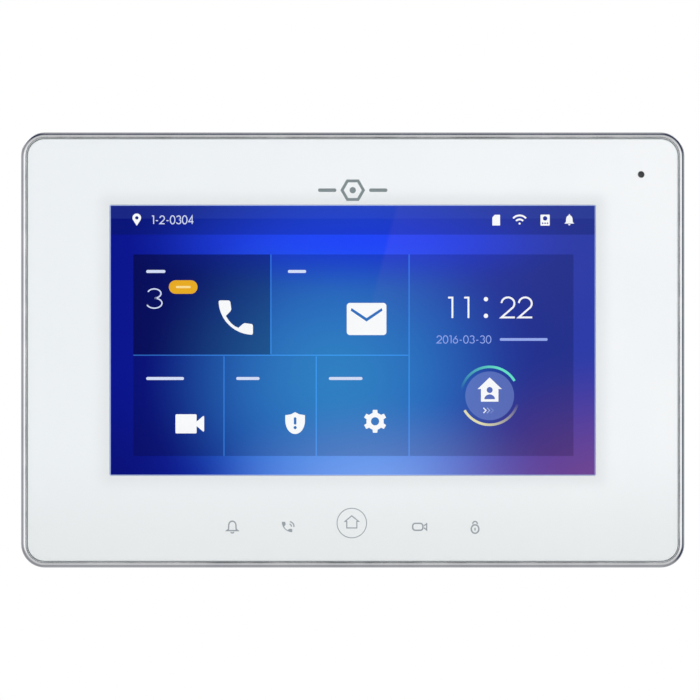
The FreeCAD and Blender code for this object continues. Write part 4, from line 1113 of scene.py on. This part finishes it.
def make_floor():
    """A pale round floor well below the part, hidden from mirrors."""
    bpy.ops.mesh.primitive_circle_add(vertices=96, radius=FLOOR_RADIUS, fill_type="NGON",
                                      location=(0, 0, cad_low.z - FLOOR_DROP))
    floor = bpy.context.object
    floor.name = "floor"
    material, tree = new_material("floor_pale")
    cloud = noise(tree, object_place(tree), FLOOR_CLOUD, 2.0)
    colour = mixed(tree, contrast(tree, cloud), (0.86, 0.86, 0.86, 1), (0.88, 0.88, 0.88, 1))
    finish_solid(tree, Base_Color=colour, Roughness=0.9, Specular_IOR_Level=0.0,
                 Emission_Color=(1, 1, 1, 1), Emission_Strength=0.2)
    floor.data.materials.append(material)
    floor.visible_glossy = False


def make_world():
    """White for the eye and a soft light for all that is matt.

    Mirrors see a dark card dead ahead, white round it, dim sides, lighter close to side-on, and
    grey behind. Each is laid out by how far a direction points ahead, right or up, from -1 to 1.
    """
    world = bpy.data.worlds.new("studio")
    bpy.context.scene.world = world
    world.use_nodes = True
    tree = world.node_tree
    tree.nodes.clear()
    axes = put(tree, "SeparateXYZ", n0=put(tree, "TexCoord").outputs["Generated"])
    ahead = math_node(tree, "MULTIPLY", axes.outputs["Y"], -1.0)
    upright = math_node(tree, "ABSOLUTE", axes.outputs["Z"])

    white = spread(tree, upright, WORLD_AHEAD, WORLD_UPRIGHT, 0.04, 0.3, smooth=True)
    card = spread(tree, ahead, 1.0, 0.04, 0.9945, 0.998, smooth=True)
    white = math_node(tree, "MULTIPLY", white, card)

    corner = math_node(tree, "ADD", axes.outputs["X"], axes.outputs["Z"])
    sides = mixed(tree, ramp(tree, corner, -0.3, 0.3), WORLD_LEFT, WORLD_RIGHT)
    straight = math_node(tree, "ABSOLUTE", axes.outputs["X"])
    straight = math_node(tree, "MAXIMUM", straight, upright)
    sides = mixed(tree, ramp(tree, straight, 0.965, 0.992), sides, WORLD_SIDE_ON)
    sides = mixed(tree, ramp(tree, ahead, -0.2, -0.55), sides, WORLD_BEHIND)
    in_front = ramp(tree, ahead, 0.55, 0.72)
    mirrored = mixed(tree, in_front, sides, mixed(tree, 1.0, (1, 1, 1, 1), white, "MULTIPLY"))

    paths = put(tree, "LightPath")
    level = spread(tree, paths.outputs["Is Camera Ray"], WORLD_LIGHT, 1.0)
    plain = mixed(tree, 1.0, (1, 1, 1, 1), level, "MULTIPLY")
    colour = mixed(tree, paths.outputs["Is Glossy Ray"], plain, mirrored)
    background = put(tree, "Background", Color=colour, Strength=1.0)
    put(tree, "OutputWorld", Surface=background.outputs[0])


# Each light: its name, place and side in metres, power in watts, and whether mirrors see it.
LIGHTS = (
    ("front_right", (1.1, -1.5, 0.9), 0.9, 10, False),
    ("front_left", (-1.3, -1.5, 0.7), 0.9, 6, False),
    ("back_left", (-1.2, 1.4, 1.1), 1.0, 5, True),
    ("back_right", (1.2, 1.4, 1.1), 1.0, 3, True),
)


def make_light(name, place, size, power, mirrored):
    """A square lamp turned to the part."""
    data = bpy.data.lights.new(name, "AREA")
    data.shape = "SQUARE"
    data.size = size
    data.energy = power
    lamp = bpy.data.objects.new(name, data)
    lamp.location = place
    lamp.rotation_mode = "QUATERNION"
    lamp.rotation_quaternion = (-Vector(place)).to_track_quat("-Z", "Y")
    lamp.visible_glossy = mirrored
    bpy.context.scene.collection.objects.link(lamp)


def make_lights():
    for light in LIGHTS:
        make_light(*light)


# What the camera takes in from side to side, how far off it is, and its step to the left.
FRAME_WIDTH = 222.0 * MM
CAMERA_DISTANCE = 2.0
CAMERA_SIDE = -0.87 * MM
SENSOR = 36.0


def make_camera():
    data = bpy.data.cameras.new("camera")
    data.sensor_width = SENSOR
    data.lens = SENSOR * CAMERA_DISTANCE / FRAME_WIDTH
    data.clip_end = 50.0
    camera = bpy.data.objects.new("camera", data)
    middle = (cad_low.z + cad_high.z) / 2
    camera.location = (CAMERA_SIDE, cad_low.y - CAMERA_DISTANCE, middle)
    camera.rotation_euler = (math.pi / 2, 0, 0)
    bpy.context.scene.collection.objects.link(camera)
    bpy.context.scene.camera = camera


bpy.context.scene.view_settings.view_transform = "Standard"
make_camera()
finishes = make_finishes()
dress_parts(finishes)
draw_roll(finishes["black_rubber"])
draw_picture()
draw_icons()
draw_widget()
draw_prints()
make_floor()
make_world()
make_lights()
